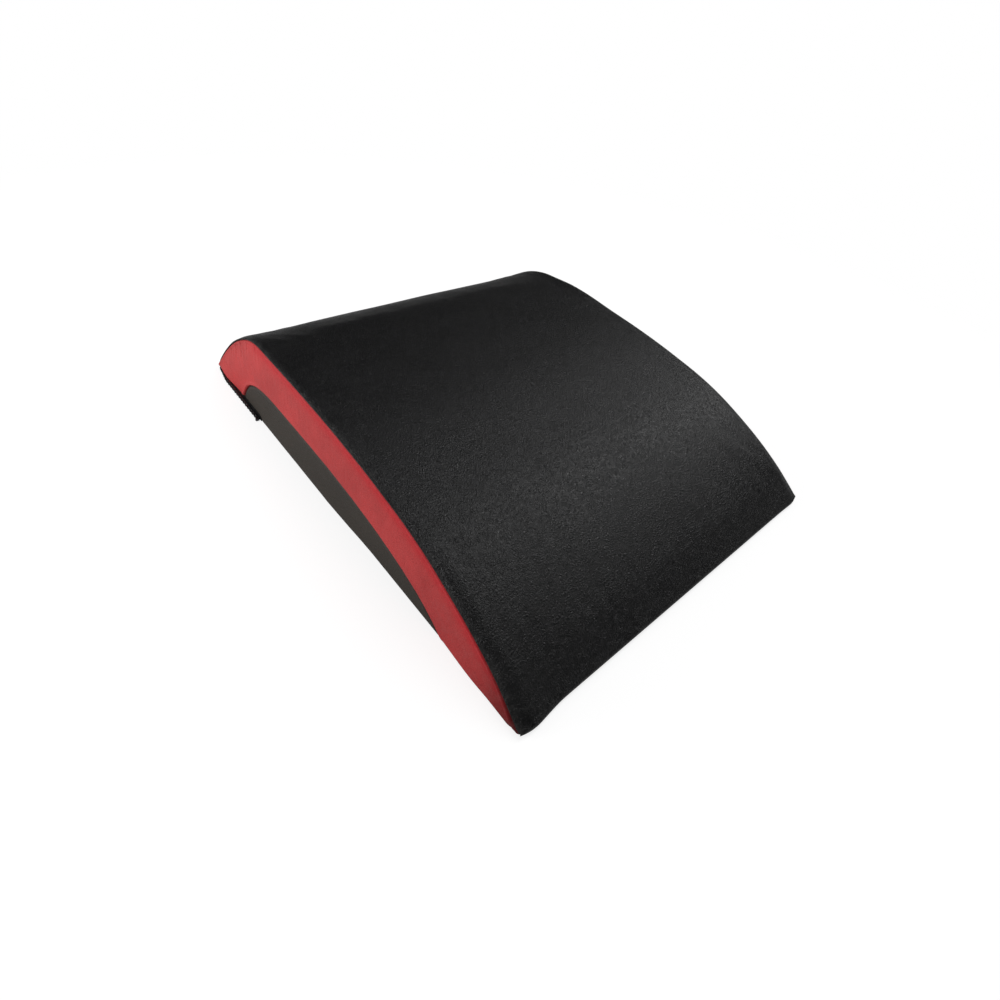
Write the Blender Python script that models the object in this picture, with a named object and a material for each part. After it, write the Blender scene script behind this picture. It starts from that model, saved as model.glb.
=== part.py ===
"""Ab mat: a foam wedge in a sewn cover that rests on the floor and supports the lower back.

Metres, +Z up. The origin is the centre of the underside, the thin front edge faces -Y,
the high rear end faces +Y, and +X runs across the width.
"""

import math

import bmesh
import bpy
from mathutils import Vector
from mathutils.geometry import interpolate_bezier

# Mat
LENGTH = 0.380
WIDTH = 0.310
HEIGHT = 0.0662
GAP = 0.0003

# Profile from the front lip to the foot of the rear wall
LIP_RADIUS = 0.0025
LIP_LIFT = 0.0003
FRONT_RISE = math.radians(37.7)
CROWN_FROM_REAR = 0.0768
CROWN_FLAT = 0.0269
FRONT_FOOT_PULL = 0.0804
FRONT_CROWN_PULL = 0.1349
REAR_CROWN_PULL = 0.0439
REAR_FOOT_PULL = 0.0087
LIP_STEPS = 6
FRONT_STEPS = 17
CROWN_STEPS = 2
REAR_STEPS = 12

# Section across the width
CROWN_DROP = 0.0010
SHOULDER_RUN = 0.0070
SHOULDER_DROP = 0.0025
SHOULDER_TURN = math.radians(39.0)
SIDE_BULGE = 0.00125
MITRE_DOWN_SHARE = 0.47
TOP_STEPS = 6
SHOULDER_STEPS = 4
SIDE_ROWS = 5

# Sheets
COVER_THICK = 0.0012
BASE_THICK = 0.0015
BASE_CORNER_RADIUS = 0.0030

# Side inset, on the plane of the side
INSET_FROM_REAR = 0.0475
INSET_FROM_FRONT = 0.0670
INSET_NOSE_RUN = 0.0572
INSET_FLAT = 0.0420
INSET_HEIGHT = 0.0294
INSET_TAIL_RISE = math.radians(30.4)
INSET_NOSE_FOOT_PULL = 0.0111
INSET_NOSE_TOP_PULL = 0.0445
INSET_TAIL_FOOT_PULL = 0.0443
INSET_TAIL_TOP_PULL = 0.0705
INSET_STEPS = 12
CUT_REACH = 0.0100

# Zip: distances out are measured from the line of the walls, heights from the floor
ZIP_SIDE_REACH = 0.0780
ZIP_FROM_RIGHT = 0.0170
ZIP_CORNER_RADIUS = 0.0067
TAPE_START_OUT = 0.0003
TAPE_END_OUT = 0.0020
TAPE_THICK = 0.0005
TAPE_TAIL = 0.0040
TAPE_LOWER_Z = 0.00165
TAPE_UPPER_Z = 0.00395
CORNER_STEPS = 8
TEETH_PER_ROW = 92
TOOTH_SHARE = 0.425
CHAIN_IN_OUT = 0.0023
CHAIN_OUT_OUT = 0.0041
CHAIN_LOW_Z = 0.0014
CHAIN_HIGH_Z = 0.0047
BEAD_HEIGHT = 0.0008
TOOTH_HEIGHT = 0.0014
STOP_LENGTH = 0.0020
STOP_OUT = 0.0049
STOP_LAP = 0.0005

# Slider and pull tab
SLIDER_LENGTH = 0.0085
SLIDER_CLEARANCE = 0.0006
SLIDER_WALL = 0.0010
SLIDER_LIP = 0.0008
HOOK_IN_OUT = 0.0010
SLIDER_BEVEL = 0.00018
BRIDGE_HALF = 0.0014
BRIDGE_WALL = 0.0008
BRIDGE_WIDTH = 0.0014
BRIDGE_CLEAR = 0.0020
TAB_THICK = 0.0010
TAB_LENGTH = 0.0200
TAB_NECK_WIDTH = 0.0044
TAB_END_WIDTH = 0.0050
TAB_WINDOW_LENGTH = 0.0028
TAB_WINDOW_WIDTH = 0.0020
TAB_SLOT_LENGTH = 0.0050
TAB_SLOT_WIDTH = 0.0014
TAB_SLOT_FROM_END = 0.0080
TAB_BEVEL = 0.0002
TAB_ROUND_STEPS = 6

# Worked out from the sizes above
FOOT_Z = BASE_THICK + GAP
SEAM_X = WIDTH / 2 - SIDE_BULGE
SHOULDER_X = SEAM_X - SHOULDER_RUN
LIP_CENTRE = Vector((0, -LENGTH / 2 + LIP_RADIUS, LIP_LIFT + LIP_RADIUS))
CORE_DEPTH = COVER_THICK + GAP
REAR_Y = LENGTH / 2
CROWN_REAR_Y = REAR_Y - CROWN_FROM_REAR
CROWN_FRONT_Y = CROWN_REAR_Y - CROWN_FLAT
INSET_REAR_Y = REAR_Y - INSET_FROM_REAR
INSET_NOSE_Y = INSET_REAR_Y - INSET_NOSE_RUN
INSET_TAIL_Y = INSET_NOSE_Y - INSET_FLAT
INSET_FRONT_Y = INSET_FROM_FRONT - REAR_Y
ZIP_START_Y = REAR_Y - ZIP_SIDE_REACH
ZIP_END_X = WIDTH / 2 - ZIP_FROM_RIGHT
SIDE_TALL = HEIGHT - FOOT_Z - CROWN_DROP - SHOULDER_DROP
CHAIN_MID_OUT = (CHAIN_IN_OUT + CHAIN_OUT_OUT) / 2
CHAIN_MID_Z = (CHAIN_LOW_Z + CHAIN_HIGH_Z) / 2
PLATE_IN_OUT = CHAIN_OUT_OUT + GAP
PLATE_OUT_OUT = PLATE_IN_OUT + SLIDER_WALL
HINGE_OUT = PLATE_OUT_OUT + BRIDGE_CLEAR / 2
SLIDER_X = ZIP_END_X - SLIDER_LENGTH / 2 - SLIDER_CLEARANCE


def clear_scene():
    for old in list(bpy.data.objects):
        bpy.data.objects.remove(old, do_unlink=True)


def material(name, colour, roughness, metallic=0.0):
    made = bpy.data.materials.new(name)
    made.use_nodes = True
    shader = made.node_tree.nodes["Principled BSDF"]
    shader.inputs["Base Color"].default_value = (*colour, 1)
    shader.inputs["Roughness"].default_value = roughness
    shader.inputs["Metallic"].default_value = metallic
    made.diffuse_color = (*colour, 1)
    return made


def new_object(name, bm, finish, smooth=True):
    """Close a bmesh into a named object with outward faces."""
    bmesh.ops.remove_doubles(bm, verts=bm.verts, dist=GAP / 100)
    bmesh.ops.recalc_face_normals(bm, faces=bm.faces)
    mesh = bpy.data.meshes.new(name)
    bm.to_mesh(mesh)
    bm.free()
    if smooth:
        mesh.shade_smooth()
        mesh.set_sharp_from_angle(angle=math.radians(40))
    made = bpy.data.objects.new(name, mesh)
    made.data.materials.append(finish)
    bpy.context.scene.collection.objects.link(made)
    return made


def curve(first, first_handle, second_handle, last, steps):
    return [Vector(p) for p in interpolate_bezier(first, first_handle, second_handle, last, steps + 1)]


def profile():
    """Stations from under the lip to the rear foot, as (point, outward normal, most depth)."""
    stations = []
    for i in range(LIP_STEPS + 1):
        angle = -math.pi / 2 - (math.pi - FRONT_RISE) * i / LIP_STEPS
        normal = Vector((0, math.cos(angle), math.sin(angle)))
        stations.append((LIP_CENTRE + LIP_RADIUS * normal, normal, LIP_RADIUS))
    start = stations[-1][0]
    slope = Vector((0, math.cos(FRONT_RISE), math.sin(FRONT_RISE)))
    crown_front = Vector((0, CROWN_FRONT_Y, HEIGHT))
    crown_rear = Vector((0, CROWN_REAR_Y, HEIGHT))
    foot = Vector((0, REAR_Y, FOOT_Z))
    points = curve(
        start,
        start + FRONT_FOOT_PULL * slope,
        crown_front - Vector((0, FRONT_CROWN_PULL, 0)),
        crown_front,
        FRONT_STEPS,
    )
    points += [crown_front.lerp(crown_rear, i / CROWN_STEPS) for i in range(1, CROWN_STEPS)]
    points += curve(
        crown_rear,
        crown_rear + Vector((0, REAR_CROWN_PULL, 0)),
        foot + Vector((0, 0, REAR_FOOT_PULL)),
        foot,
        REAR_STEPS,
    )
    for before, here, after in zip(points, points[1:], points[2:]):
        along = (here - before).normalized() + (after - here).normalized()
        stations.append((here, Vector((0, -along.z, along.y)).normalized(), HEIGHT))
    stations.append((foot, Vector((0, 1, 0)), HEIGHT))
    return stations


STATIONS = profile()


def crown_at(point):
    """How far the top has fallen from the middle to the shoulder: least at the low ends."""
    return CROWN_DROP * point.z / HEIGHT


def seam_drop(point, depth):
    return crown_at(point) + SHOULDER_DROP + MITRE_DOWN_SHARE * depth


def inward(station, drop):
    point, normal, most = station
    return point - min(drop, most) * normal


def section(station, depth, lift):
    """One row of the top across the width, from the left seam to the right."""
    point, normal, most = station
    crown = crown_at(point)
    start = crown + depth
    end = seam_drop(point, depth) - (lift if most > LIP_RADIUS else 0)
    if most == LIP_RADIUS:
        end = LIP_RADIUS
    half = []
    for i in range(TOP_STEPS // 2 + 1):
        share = i / (TOP_STEPS // 2)
        half.append((SHOULDER_X * share, crown * share * share + depth))
    for i in range(1, SHOULDER_STEPS + 1):
        turn = SHOULDER_TURN * i / SHOULDER_STEPS
        out = math.sin(turn) / math.sin(SHOULDER_TURN)
        down = (1 - math.cos(turn)) / (1 - math.cos(SHOULDER_TURN))
        x = SHOULDER_X + (SHOULDER_RUN - depth) * out
        half.append((x, start + (end - start) * down))
    row = [(-x, drop) for x, drop in reversed(half[1:])] + half
    return [inward(station, drop) + Vector((x, 0, 0)) for x, drop in row]


def top_rows(depth, lift):
    return [section(station, depth, lift) for station in STATIONS]


def side_rows(side, depth, lower):
    """Columns of the side from the front tip to the rear corner, each from the foot to the seam."""
    columns = []
    for station in STATIONS[LIP_STEPS:]:
        seam = inward(station, seam_drop(station[0], depth))
        columns.append(seam)
    if lower:
        columns[0] = columns[0] + Vector((0, lower, -lower))
    rows = []
    for seam in columns:
        tall = max(seam.z - FOOT_Z, 0)
        bulge = SIDE_BULGE * min(1, tall / SIDE_TALL) ** 2
        row = []
        for i in range(SIDE_ROWS + 1):
            share = i / SIDE_ROWS
            out = SEAM_X + bulge * math.sin(math.pi * share) - depth
            row.append(Vector((side * out, seam.y, FOOT_Z + tall * share)))
        rows.append(row)
    return rows


def add_grid(bm, rows):
    grid = [[bm.verts.new(point) for point in row] for row in rows]
    for first, second in zip(grid, grid[1:]):
        for a, b, c, d in zip(first, first[1:], second[1:], second):
            bm.faces.new((a, b, c, d))
    return grid


def rim(grid):
    """The border of a grid, once round."""
    right = [row[-1] for row in grid]
    left = [row[0] for row in grid]
    return grid[0] + right[1:] + grid[-1][-2::-1] + left[-2:0:-1]


def sheet(outer_rows, inner_rows):
    """A closed sheet between an outer and an inner grid."""
    bm = bmesh.new()
    outer = rim(add_grid(bm, outer_rows))
    inner = rim(add_grid(bm, inner_rows))
    for i, start in enumerate(outer):
        following = (i + 1) % len(outer)
        bm.faces.new((start, outer[following], inner[following], inner[i]))
    return bm


def prism(bm, outline, low, high, place):
    """Extrude a flat outline of (a, b) pairs between two levels; place turns (a, b, level) into a point."""
    bottom = [bm.verts.new(place(a, b, low)) for a, b in outline]
    face = bm.faces.new(bottom)
    lifted = bmesh.ops.extrude_face_region(bm, geom=[face])["geom"]
    rise = place(0, 0, high) - place(0, 0, low)
    bmesh.ops.translate(bm, verts=[v for v in lifted if isinstance(v, bmesh.types.BMVert)], vec=rise)


def boolean(target, cutter, operation):
    cutter.hide_render = True
    cutter.display_type = "WIRE"
    step = target.modifiers.new(operation.lower(), "BOOLEAN")
    step.operation = operation
    step.object = cutter
    step.solver = "EXACT"


def foam_core(finish):
    bm = bmesh.new()
    add_grid(bm, top_rows(CORE_DEPTH, 0))
    for side in (-1, 1):
        add_grid(bm, side_rows(side, CORE_DEPTH, 0))
    bmesh.ops.remove_doubles(bm, verts=bm.verts, dist=GAP / 100)
    border = [edge for edge in bm.edges if len(edge.link_faces) == 1]
    bmesh.ops.holes_fill(bm, edges=border, sides=0)
    return new_object("foam_core", bm, finish)


def top_cover(finish):
    return new_object("top_cover", sheet(top_rows(0, GAP), top_rows(COVER_THICK, GAP)), finish)


def inset_outline(grow):
    """The inset seen square to the side, as (y, z) pairs, grown all round by the clearance."""
    top = INSET_HEIGHT
    nose_foot = Vector((INSET_REAR_Y, 0, 0))
    nose_top = Vector((INSET_NOSE_Y, top, 0))
    tail_top = Vector((INSET_TAIL_Y, top, 0))
    tail_foot = Vector((INSET_FRONT_Y, 0, 0))
    rise = Vector((math.cos(INSET_TAIL_RISE), math.sin(INSET_TAIL_RISE), 0))
    nose = curve(
        nose_foot,
        nose_foot + Vector((0, INSET_NOSE_FOOT_PULL, 0)),
        nose_top + Vector((INSET_NOSE_TOP_PULL, 0, 0)),
        nose_top,
        INSET_STEPS,
    )
    tail = curve(
        tail_top,
        tail_top - Vector((INSET_TAIL_TOP_PULL, 0, 0)),
        tail_foot + INSET_TAIL_FOOT_PULL * rise,
        tail_foot,
        INSET_STEPS,
    )
    edge = nose + tail
    grown = []
    for i, point in enumerate(edge):
        before = edge[max(i - 1, 0)]
        after = edge[min(i + 1, len(edge) - 1)]
        along = (after - before).normalized()
        grown.append(point + grow * Vector((along.y, -along.x, 0)))
    first = (grown[0].x, -CUT_REACH)
    last = (grown[-1].x, -CUT_REACH)
    return [first] + [(point.x, point.y) for point in grown] + [last]


def inset_cutter(side, grow):
    bm = bmesh.new()
    inner = side * (SEAM_X - CUT_REACH)
    outer = side * (SEAM_X + CUT_REACH)
    prism(bm, inset_outline(grow), inner, outer, lambda y, z, x: Vector((x, y, z)))
    name = f"inset_guide_{'left' if side < 0 else 'right'}_{'wide' if grow else 'true'}"
    return new_object(name, bm, GUIDE, smooth=False)


def side_shell(name, side, finish):
    return new_object(name, sheet(side_rows(side, 0, GAP), side_rows(side, COVER_THICK, GAP)), finish)


def side_panel(side, name, finish):
    panel = side_shell(name, side, finish)
    boolean(panel, inset_cutter(side, GAP), "DIFFERENCE")
    return panel


def side_inset(side, name, finish):
    inset = side_shell(name, side, finish)
    boolean(inset, inset_cutter(side, 0), "INTERSECT")
    return inset


def base_panel(finish):
    bm = bmesh.new()
    front = LIP_CENTRE.y + GAP + BASE_CORNER_RADIUS
    rear = REAR_Y - BASE_CORNER_RADIUS
    side = SEAM_X - BASE_CORNER_RADIUS
    outline = []
    for corner, (x, y) in enumerate(((side, rear), (-side, rear), (-side, front), (side, front))):
        for i in range(CORNER_STEPS + 1):
            angle = math.pi / 2 * (corner + i / CORNER_STEPS)
            outline.append((x + BASE_CORNER_RADIUS * math.cos(angle), y + BASE_CORNER_RADIUS * math.sin(angle)))
    prism(bm, outline, 0, BASE_THICK, lambda x, y, z: Vector((x, y, z)))
    return new_object("base_panel", bm, finish)


def zip_runs():
    """Lengths of the chain's left run, its corner and its rear run."""
    corner_y = REAR_Y + CHAIN_MID_OUT - ZIP_CORNER_RADIUS
    corner_x = -SEAM_X - CHAIN_MID_OUT + ZIP_CORNER_RADIUS
    return corner_y - ZIP_START_Y, ZIP_CORNER_RADIUS * math.pi / 2, ZIP_END_X - corner_x


def zip_point(along, out, height):
    """A point of the zip: how far along its chain, how far out from the wall, how high."""
    side_run, corner_run, rear_run = zip_runs()
    corner_x = -SEAM_X - CHAIN_MID_OUT + ZIP_CORNER_RADIUS
    reach = ZIP_CORNER_RADIUS + out - CHAIN_MID_OUT
    if along <= side_run:
        return Vector((corner_x - reach, ZIP_START_Y + along, height))
    if along >= side_run + corner_run:
        x = corner_x + along - side_run - corner_run
        return Vector((x, REAR_Y + out, height))
    turn = math.pi - (along - side_run) / ZIP_CORNER_RADIUS
    centre = Vector((corner_x, ZIP_START_Y + side_run, height))
    return centre + reach * Vector((math.cos(turn), math.sin(turn), 0))


def zip_band(bm, places, low_out, high_out, low_z, high_z):
    """Sweep a rectangle along the zip; returns the faces of its underside and of its top."""
    rings = []
    for along in places:
        corners = ((low_out, low_z), (high_out, low_z), (high_out, high_z), (low_out, high_z))
        rings.append([bm.verts.new(zip_point(along, out, z)) for out, z in corners])
    under, over = [], []
    for first, second in zip(rings, rings[1:]):
        faces = [
            bm.faces.new((first[i], first[(i + 1) % 4], second[(i + 1) % 4], second[i])) for i in range(4)
        ]
        under.append(faces[0])
        over.append(faces[2])
    bm.faces.new(rings[0])
    bm.faces.new(rings[-1])
    return under, over


def zip_tape(name, low_z, finish):
    side_run, corner_run, rear_run = zip_runs()
    bends = [side_run + corner_run * i / CORNER_STEPS for i in range(CORNER_STEPS + 1)]
    places = [-TAPE_TAIL] + bends + [side_run + corner_run + rear_run + TAPE_TAIL]
    bm = bmesh.new()
    zip_band(bm, places, TAPE_START_OUT, TAPE_END_OUT, low_z, low_z + TAPE_THICK)
    return new_object(name, bm, finish)


def zip_teeth(name, upper, finish):
    """A bead with a row of teeth drawn out of the side that faces the other row."""
    pitch = sum(zip_runs()) / TEETH_PER_ROW
    half_space = pitch * (1 - 2 * TOOTH_SHARE) / 2
    lead = half_space if upper else pitch / 2 + half_space
    places = [0]
    for i in range(TEETH_PER_ROW):
        start = i * pitch + lead
        places += [start, start + pitch * TOOTH_SHARE]
    places.append(sum(zip_runs()))
    places = sorted({min(place, sum(zip_runs())) for place in places})
    low = CHAIN_HIGH_Z - BEAD_HEIGHT if upper else CHAIN_LOW_Z
    bm = bmesh.new()
    under, over = zip_band(bm, places, CHAIN_IN_OUT, CHAIN_OUT_OUT, low, low + BEAD_HEIGHT)
    bmesh.ops.recalc_face_normals(bm, faces=bm.faces)
    roots = (under if upper else over)[1::2]
    teeth = bmesh.ops.extrude_discrete_faces(bm, faces=roots)["faces"]
    draw = Vector((0, 0, -TOOTH_HEIGHT if upper else TOOTH_HEIGHT))
    bmesh.ops.translate(bm, verts=list({v for face in teeth for v in face.verts}), vec=draw)
    return new_object(name, bm, finish)


def zip_stop(name, start, low_z, high_z, finish):
    bm = bmesh.new()
    places = [start, start + STOP_LENGTH]
    zip_band(bm, places, CHAIN_IN_OUT, STOP_OUT, low_z, high_z)
    stop = new_object(name, bm, finish)
    soften(stop, SLIDER_BEVEL)


def zip_stops(finish):
    end = sum(zip_runs()) + GAP
    low, high = CHAIN_LOW_Z - STOP_LAP, CHAIN_HIGH_Z + STOP_LAP
    half = (TAPE_UPPER_Z - TAPE_LOWER_Z - TAPE_THICK) / 2 - GAP
    zip_stop("zip_bottom_stop", -GAP - STOP_LENGTH, low, high, finish)
    zip_stop("zip_top_stop_lower", end, low, TAPE_LOWER_Z + TAPE_THICK + half, finish)
    zip_stop("zip_top_stop_upper", end, TAPE_UPPER_Z - half, high, finish)


def soften(piece, width):
    step = piece.modifiers.new("soften", "BEVEL")
    step.width = width
    step.segments = 1
    step.limit_method = "ANGLE"
    step.angle_limit = math.radians(40)


def zip_slider(finish):
    """A channel that hooks behind the chain, with a bridge for the pull tab."""
    low = CHAIN_LOW_Z - GAP - SLIDER_LIP - CHAIN_MID_Z
    high = CHAIN_HIGH_Z + GAP + SLIDER_LIP - CHAIN_MID_Z
    lip_low, lip_high = low + SLIDER_LIP, high - SLIDER_LIP
    hook_low = TAPE_LOWER_Z - GAP - CHAIN_MID_Z
    hook_high = TAPE_UPPER_Z + TAPE_THICK + GAP - CHAIN_MID_Z
    back = CHAIN_IN_OUT - GAP
    outline = [
        (PLATE_OUT_OUT, low), (PLATE_OUT_OUT, high), (HOOK_IN_OUT, high), (HOOK_IN_OUT, hook_high),
        (back, hook_high), (back, lip_high), (PLATE_IN_OUT, lip_high), (PLATE_IN_OUT, lip_low),
        (back, lip_low), (back, hook_low), (HOOK_IN_OUT, hook_low), (HOOK_IN_OUT, low),
    ]
    half = SLIDER_LENGTH / 2
    bm = bmesh.new()
    prism(bm, outline, -half, half, lambda out, z, x: Vector((x, out - HINGE_OUT, z)))
    slider = new_object("zip_slider", bm, finish)
    soften(slider, SLIDER_BEVEL)
    bridge = slider_bridge()
    bridge.parent = slider
    boolean(slider, bridge, "UNION")
    slider.location = (SLIDER_X, REAR_Y + HINGE_OUT, CHAIN_MID_Z)
    return slider


def slider_bridge():
    """An arch over the place of the tab's bar, sunk a little into the plate."""
    root = PLATE_OUT_OUT - SLIDER_WALL / 2 - HINGE_OUT
    under = BRIDGE_CLEAR / 2
    top = under + BRIDGE_WALL
    inner, outer = BRIDGE_HALF, BRIDGE_HALF + BRIDGE_WALL
    outline = [
        (-outer, root), (-outer, top), (outer, top), (outer, root),
        (inner, root), (inner, under), (-inner, under), (-inner, root),
    ]
    bm = bmesh.new()
    half = BRIDGE_WIDTH / 2
    prism(bm, outline, -half, half, lambda x, out, z: Vector((x, out, z)))
    bridge = new_object("slider_bridge_guide", bm, GUIDE, smooth=False)
    soften(bridge, SLIDER_BEVEL)
    return bridge


def tab_outline():
    """The pull tab from its bar to its round end, as (x, z) pairs about the hinge."""
    near = TAB_THICK / 2
    neck, end = TAB_NECK_WIDTH / 2, TAB_END_WIDTH / 2
    centre = -TAB_LENGTH + end
    outline = [(near, -neck), (near, neck), (-TAB_WINDOW_LENGTH - TAB_THICK, neck)]
    for i in range(TAB_ROUND_STEPS + 1):
        angle = math.pi / 2 + math.pi * i / TAB_ROUND_STEPS
        outline.append((centre + end * math.cos(angle), end * math.sin(angle)))
    outline.append((-TAB_WINDOW_LENGTH - TAB_THICK, -neck))
    return outline


def tab_cutter(name, low_x, high_x, width):
    reach = TAB_THICK
    outline = [(low_x, -width / 2), (high_x, -width / 2), (high_x, width / 2), (low_x, width / 2)]
    bm = bmesh.new()
    prism(bm, outline, -reach, reach, lambda x, z, y: Vector((x, y, z)))
    return new_object(name, bm, GUIDE, smooth=False)


def zip_pull_tab(finish, slider):
    """A flat tab that turns on its own bar under the slider's bridge."""
    half = TAB_THICK / 2
    bm = bmesh.new()
    prism(bm, tab_outline(), -half, half, lambda x, z, y: Vector((x, y, z)))
    tab = new_object("zip_pull_tab", bm, finish)
    window = tab_cutter("tab_window_guide", -half - TAB_WINDOW_LENGTH, -half, TAB_WINDOW_WIDTH)
    slot_end = -TAB_LENGTH + TAB_SLOT_FROM_END
    slot = tab_cutter("tab_slot_guide", slot_end - TAB_SLOT_LENGTH, slot_end, TAB_SLOT_WIDTH)
    boolean(tab, window, "DIFFERENCE")
    boolean(tab, slot, "DIFFERENCE")
    soften(tab, TAB_BEVEL)
    for piece in (tab, window, slot):
        piece.parent = slider


clear_scene()
GUIDE = material("guide", (0.5, 0.5, 0.5), 0.5)
BLACK_COVER = material("black_cover", (0.022, 0.022, 0.024), 0.45)
RED_COVER = material("red_cover", (0.42, 0.045, 0.045), 0.5)
GREY_INSET = material("grey_inset", (0.045, 0.04, 0.036), 0.6)
FOAM = material("foam", (0.25, 0.25, 0.26), 0.9)
BASE_CLOTH = material("base_cloth", (0.02, 0.02, 0.02), 0.85)
ZIP_TAPE = material("zip_tape", (0.012, 0.012, 0.012), 0.8)
ZIP_TEETH = material("zip_teeth", (0.03, 0.03, 0.03), 0.4)
ZIP_METAL = material("zip_metal", (0.12, 0.12, 0.13), 0.35, 1.0)

foam_core(FOAM)
top_cover(BLACK_COVER)
side_panel(-1, "left_side_panel", RED_COVER)
side_panel(1, "right_side_panel", RED_COVER)
side_inset(-1, "left_side_inset", GREY_INSET)
side_inset(1, "right_side_inset", GREY_INSET)
base_panel(BASE_CLOTH)
zip_tape("zip_tape_upper", TAPE_UPPER_Z, ZIP_TAPE)
zip_tape("zip_tape_lower", TAPE_LOWER_Z, ZIP_TAPE)
zip_teeth("zip_teeth_upper", True, ZIP_TEETH)
zip_teeth("zip_teeth_lower", False, ZIP_TEETH)
zip_stops(ZIP_METAL)
zip_pull_tab(ZIP_METAL, zip_slider(ZIP_METAL))
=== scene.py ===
"""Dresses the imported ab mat: a foam wedge in a sewn cover with leather panels and a zip round its foot.

Metres, +Z up. The thin front edge faces -Y, the high rear end faces +Y, and +X runs across the width.
"""

import math
from bisect import bisect_right

import bpy
from mathutils import Matrix, Vector, noise
from mathutils.geometry import interpolate_bezier
from mathutils.kdtree import KDTree


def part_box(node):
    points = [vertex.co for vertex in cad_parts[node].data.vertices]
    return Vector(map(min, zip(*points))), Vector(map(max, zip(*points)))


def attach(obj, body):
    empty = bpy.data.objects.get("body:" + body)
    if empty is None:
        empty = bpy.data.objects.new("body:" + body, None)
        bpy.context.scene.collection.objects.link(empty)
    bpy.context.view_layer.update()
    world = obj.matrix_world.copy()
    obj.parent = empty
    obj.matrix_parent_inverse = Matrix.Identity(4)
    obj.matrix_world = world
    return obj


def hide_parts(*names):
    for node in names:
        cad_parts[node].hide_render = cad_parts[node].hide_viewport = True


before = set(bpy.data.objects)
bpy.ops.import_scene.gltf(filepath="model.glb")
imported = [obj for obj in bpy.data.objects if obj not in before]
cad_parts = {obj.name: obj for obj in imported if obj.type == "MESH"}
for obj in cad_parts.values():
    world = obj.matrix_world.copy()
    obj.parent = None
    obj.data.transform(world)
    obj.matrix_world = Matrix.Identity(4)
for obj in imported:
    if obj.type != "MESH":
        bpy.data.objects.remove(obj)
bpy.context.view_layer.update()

bl_info = {
    "name": "Ab mat",
    "version": (1, 0, 0),
    "blender": (4, 5, 0),
    "location": "3D View > Sidebar > Ab Mat",
    "description": "Builds the leather, seams, foam and zip of an ab mat around its packed frame",
    "category": "Object",
}

SIDES = ((-1, "left"), (1, "right"))

# The frame's own lines, from the boxes of its nodes
COVER_LOW, COVER_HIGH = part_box("top_cover")
BASE_LOW, BASE_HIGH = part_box("base_panel")
CORE_LOW, CORE_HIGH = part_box("foam_core")
CHAIN_LOW, CHAIN_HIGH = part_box("zip_teeth_upper")
STOP_LOW, STOP_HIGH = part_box("zip_bottom_stop")
PANEL_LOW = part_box("left_side_panel")[0]
INSET_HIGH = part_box("left_side_inset")[1]
UNDER_CHAIN_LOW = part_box("zip_teeth_lower")[0]

SEAM_X = COVER_HIGH.x
REAR_Y = COVER_HIGH.y
FRONT_Y = COVER_LOW.y
HEIGHT = COVER_HIGH.z
FOOT_Z = PANEL_LOW.z
SIDE_BULGE = PANEL_LOW.x * -1 - SEAM_X
CROWN_REAR_Y = REAR_Y - 0.0768
CROWN_FRONT_Y = CROWN_REAR_Y - 0.0269
CORNER_RADIUS = 0.0026
INSET_TIP_Y = -0.1230
HEM_FOLD = 0.0006

# Room round the foam, height of the base's hem above the floor, and moments of the cloth's swelling
FOAM_SHRINK = 0.0012
BASE_LIFT = 0.0004
PUFF_FRAMES = 20

# Steps along the seam, a panel and an inset, and places across a panel or an inset from its edges inwards
SEAM_STEPS = 700
PANEL_COLUMNS = 280
INSET_COLUMNS = 170
EDGE_STEPS = (0, 0.0004, 0.0008, 0.0013, 0.0019, 0.0026, 0.0036, 0.0050)
MIDDLE_STEPS = 7

PUCKERS = (
    # place and height of the top end, place and height of the lower end, half width, depth
    (0.1585, 0.0462, 0.1510, 0.0300, 0.0017, 0.00050),
    (0.1478, 0.0520, 0.1408, 0.0372, 0.0016, 0.00050),
    (0.1675, 0.0380, 0.1615, 0.0265, 0.0015, 0.00030),
    (0.1360, 0.0570, 0.1310, 0.0455, 0.0015, 0.00028),
    (0.1215, 0.0608, 0.1130, 0.0470, 0.0016, 0.00034),
    (0.1775, 0.0265, 0.1715, 0.0165, 0.0013, 0.00022),
)

# Distances from the middle towards the front, where a change of shape starts and where it is complete
SHOULDER_WIDENS = (0.040, 0.150)
SHOULDER_DEEPENS = (0.060, 0.130)
TOP_SWELLS = (0.050, 0.110)
LIP_FLATTENS = (0.165, 0.187)

# Zip, as distances out from the walls and heights from the floor
ZIP_START_Y = CHAIN_LOW.y
ZIP_END_X = CHAIN_HIGH.x
CHAIN_OUT = (CHAIN_HIGH.y + REAR_Y + 0.0023) / 2 - REAR_Y
ZIP_CORNER = 0.0067
ZIP_CORNER_X = -SEAM_X - CHAIN_OUT + ZIP_CORNER
TEETH = 92
TAPE_TAIL = 0.004
TAPE_OUTS = (0.00032, 0.0005, 0.0009, 0.0013, 0.0017, 0.0020)

# On the left side the zip lies low under the hem
ZIP_TUCK_Z = 0.0003
ZIP_TUCK_SHARE = 0.55
ZIP_TUCK_OUT_SHARE = 1.12
ZIP_CORNER_SHARE = 0.50


def number(name, text, value, **more):
    return bpy.props.FloatProperty(name=name, description=text, default=value, **more)


def length(name, text, value, **more):
    """A length in metres."""
    return number(name, text, value, unit="LENGTH", precision=5, **more)


def angle(name, text, degrees):
    return number(name, text, math.radians(degrees), subtype="ANGLE")


def colour(name, text, value):
    return bpy.props.FloatVectorProperty(
        name=name, description=text, default=value, size=3, subtype="COLOR", min=0, max=1
    )


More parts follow.
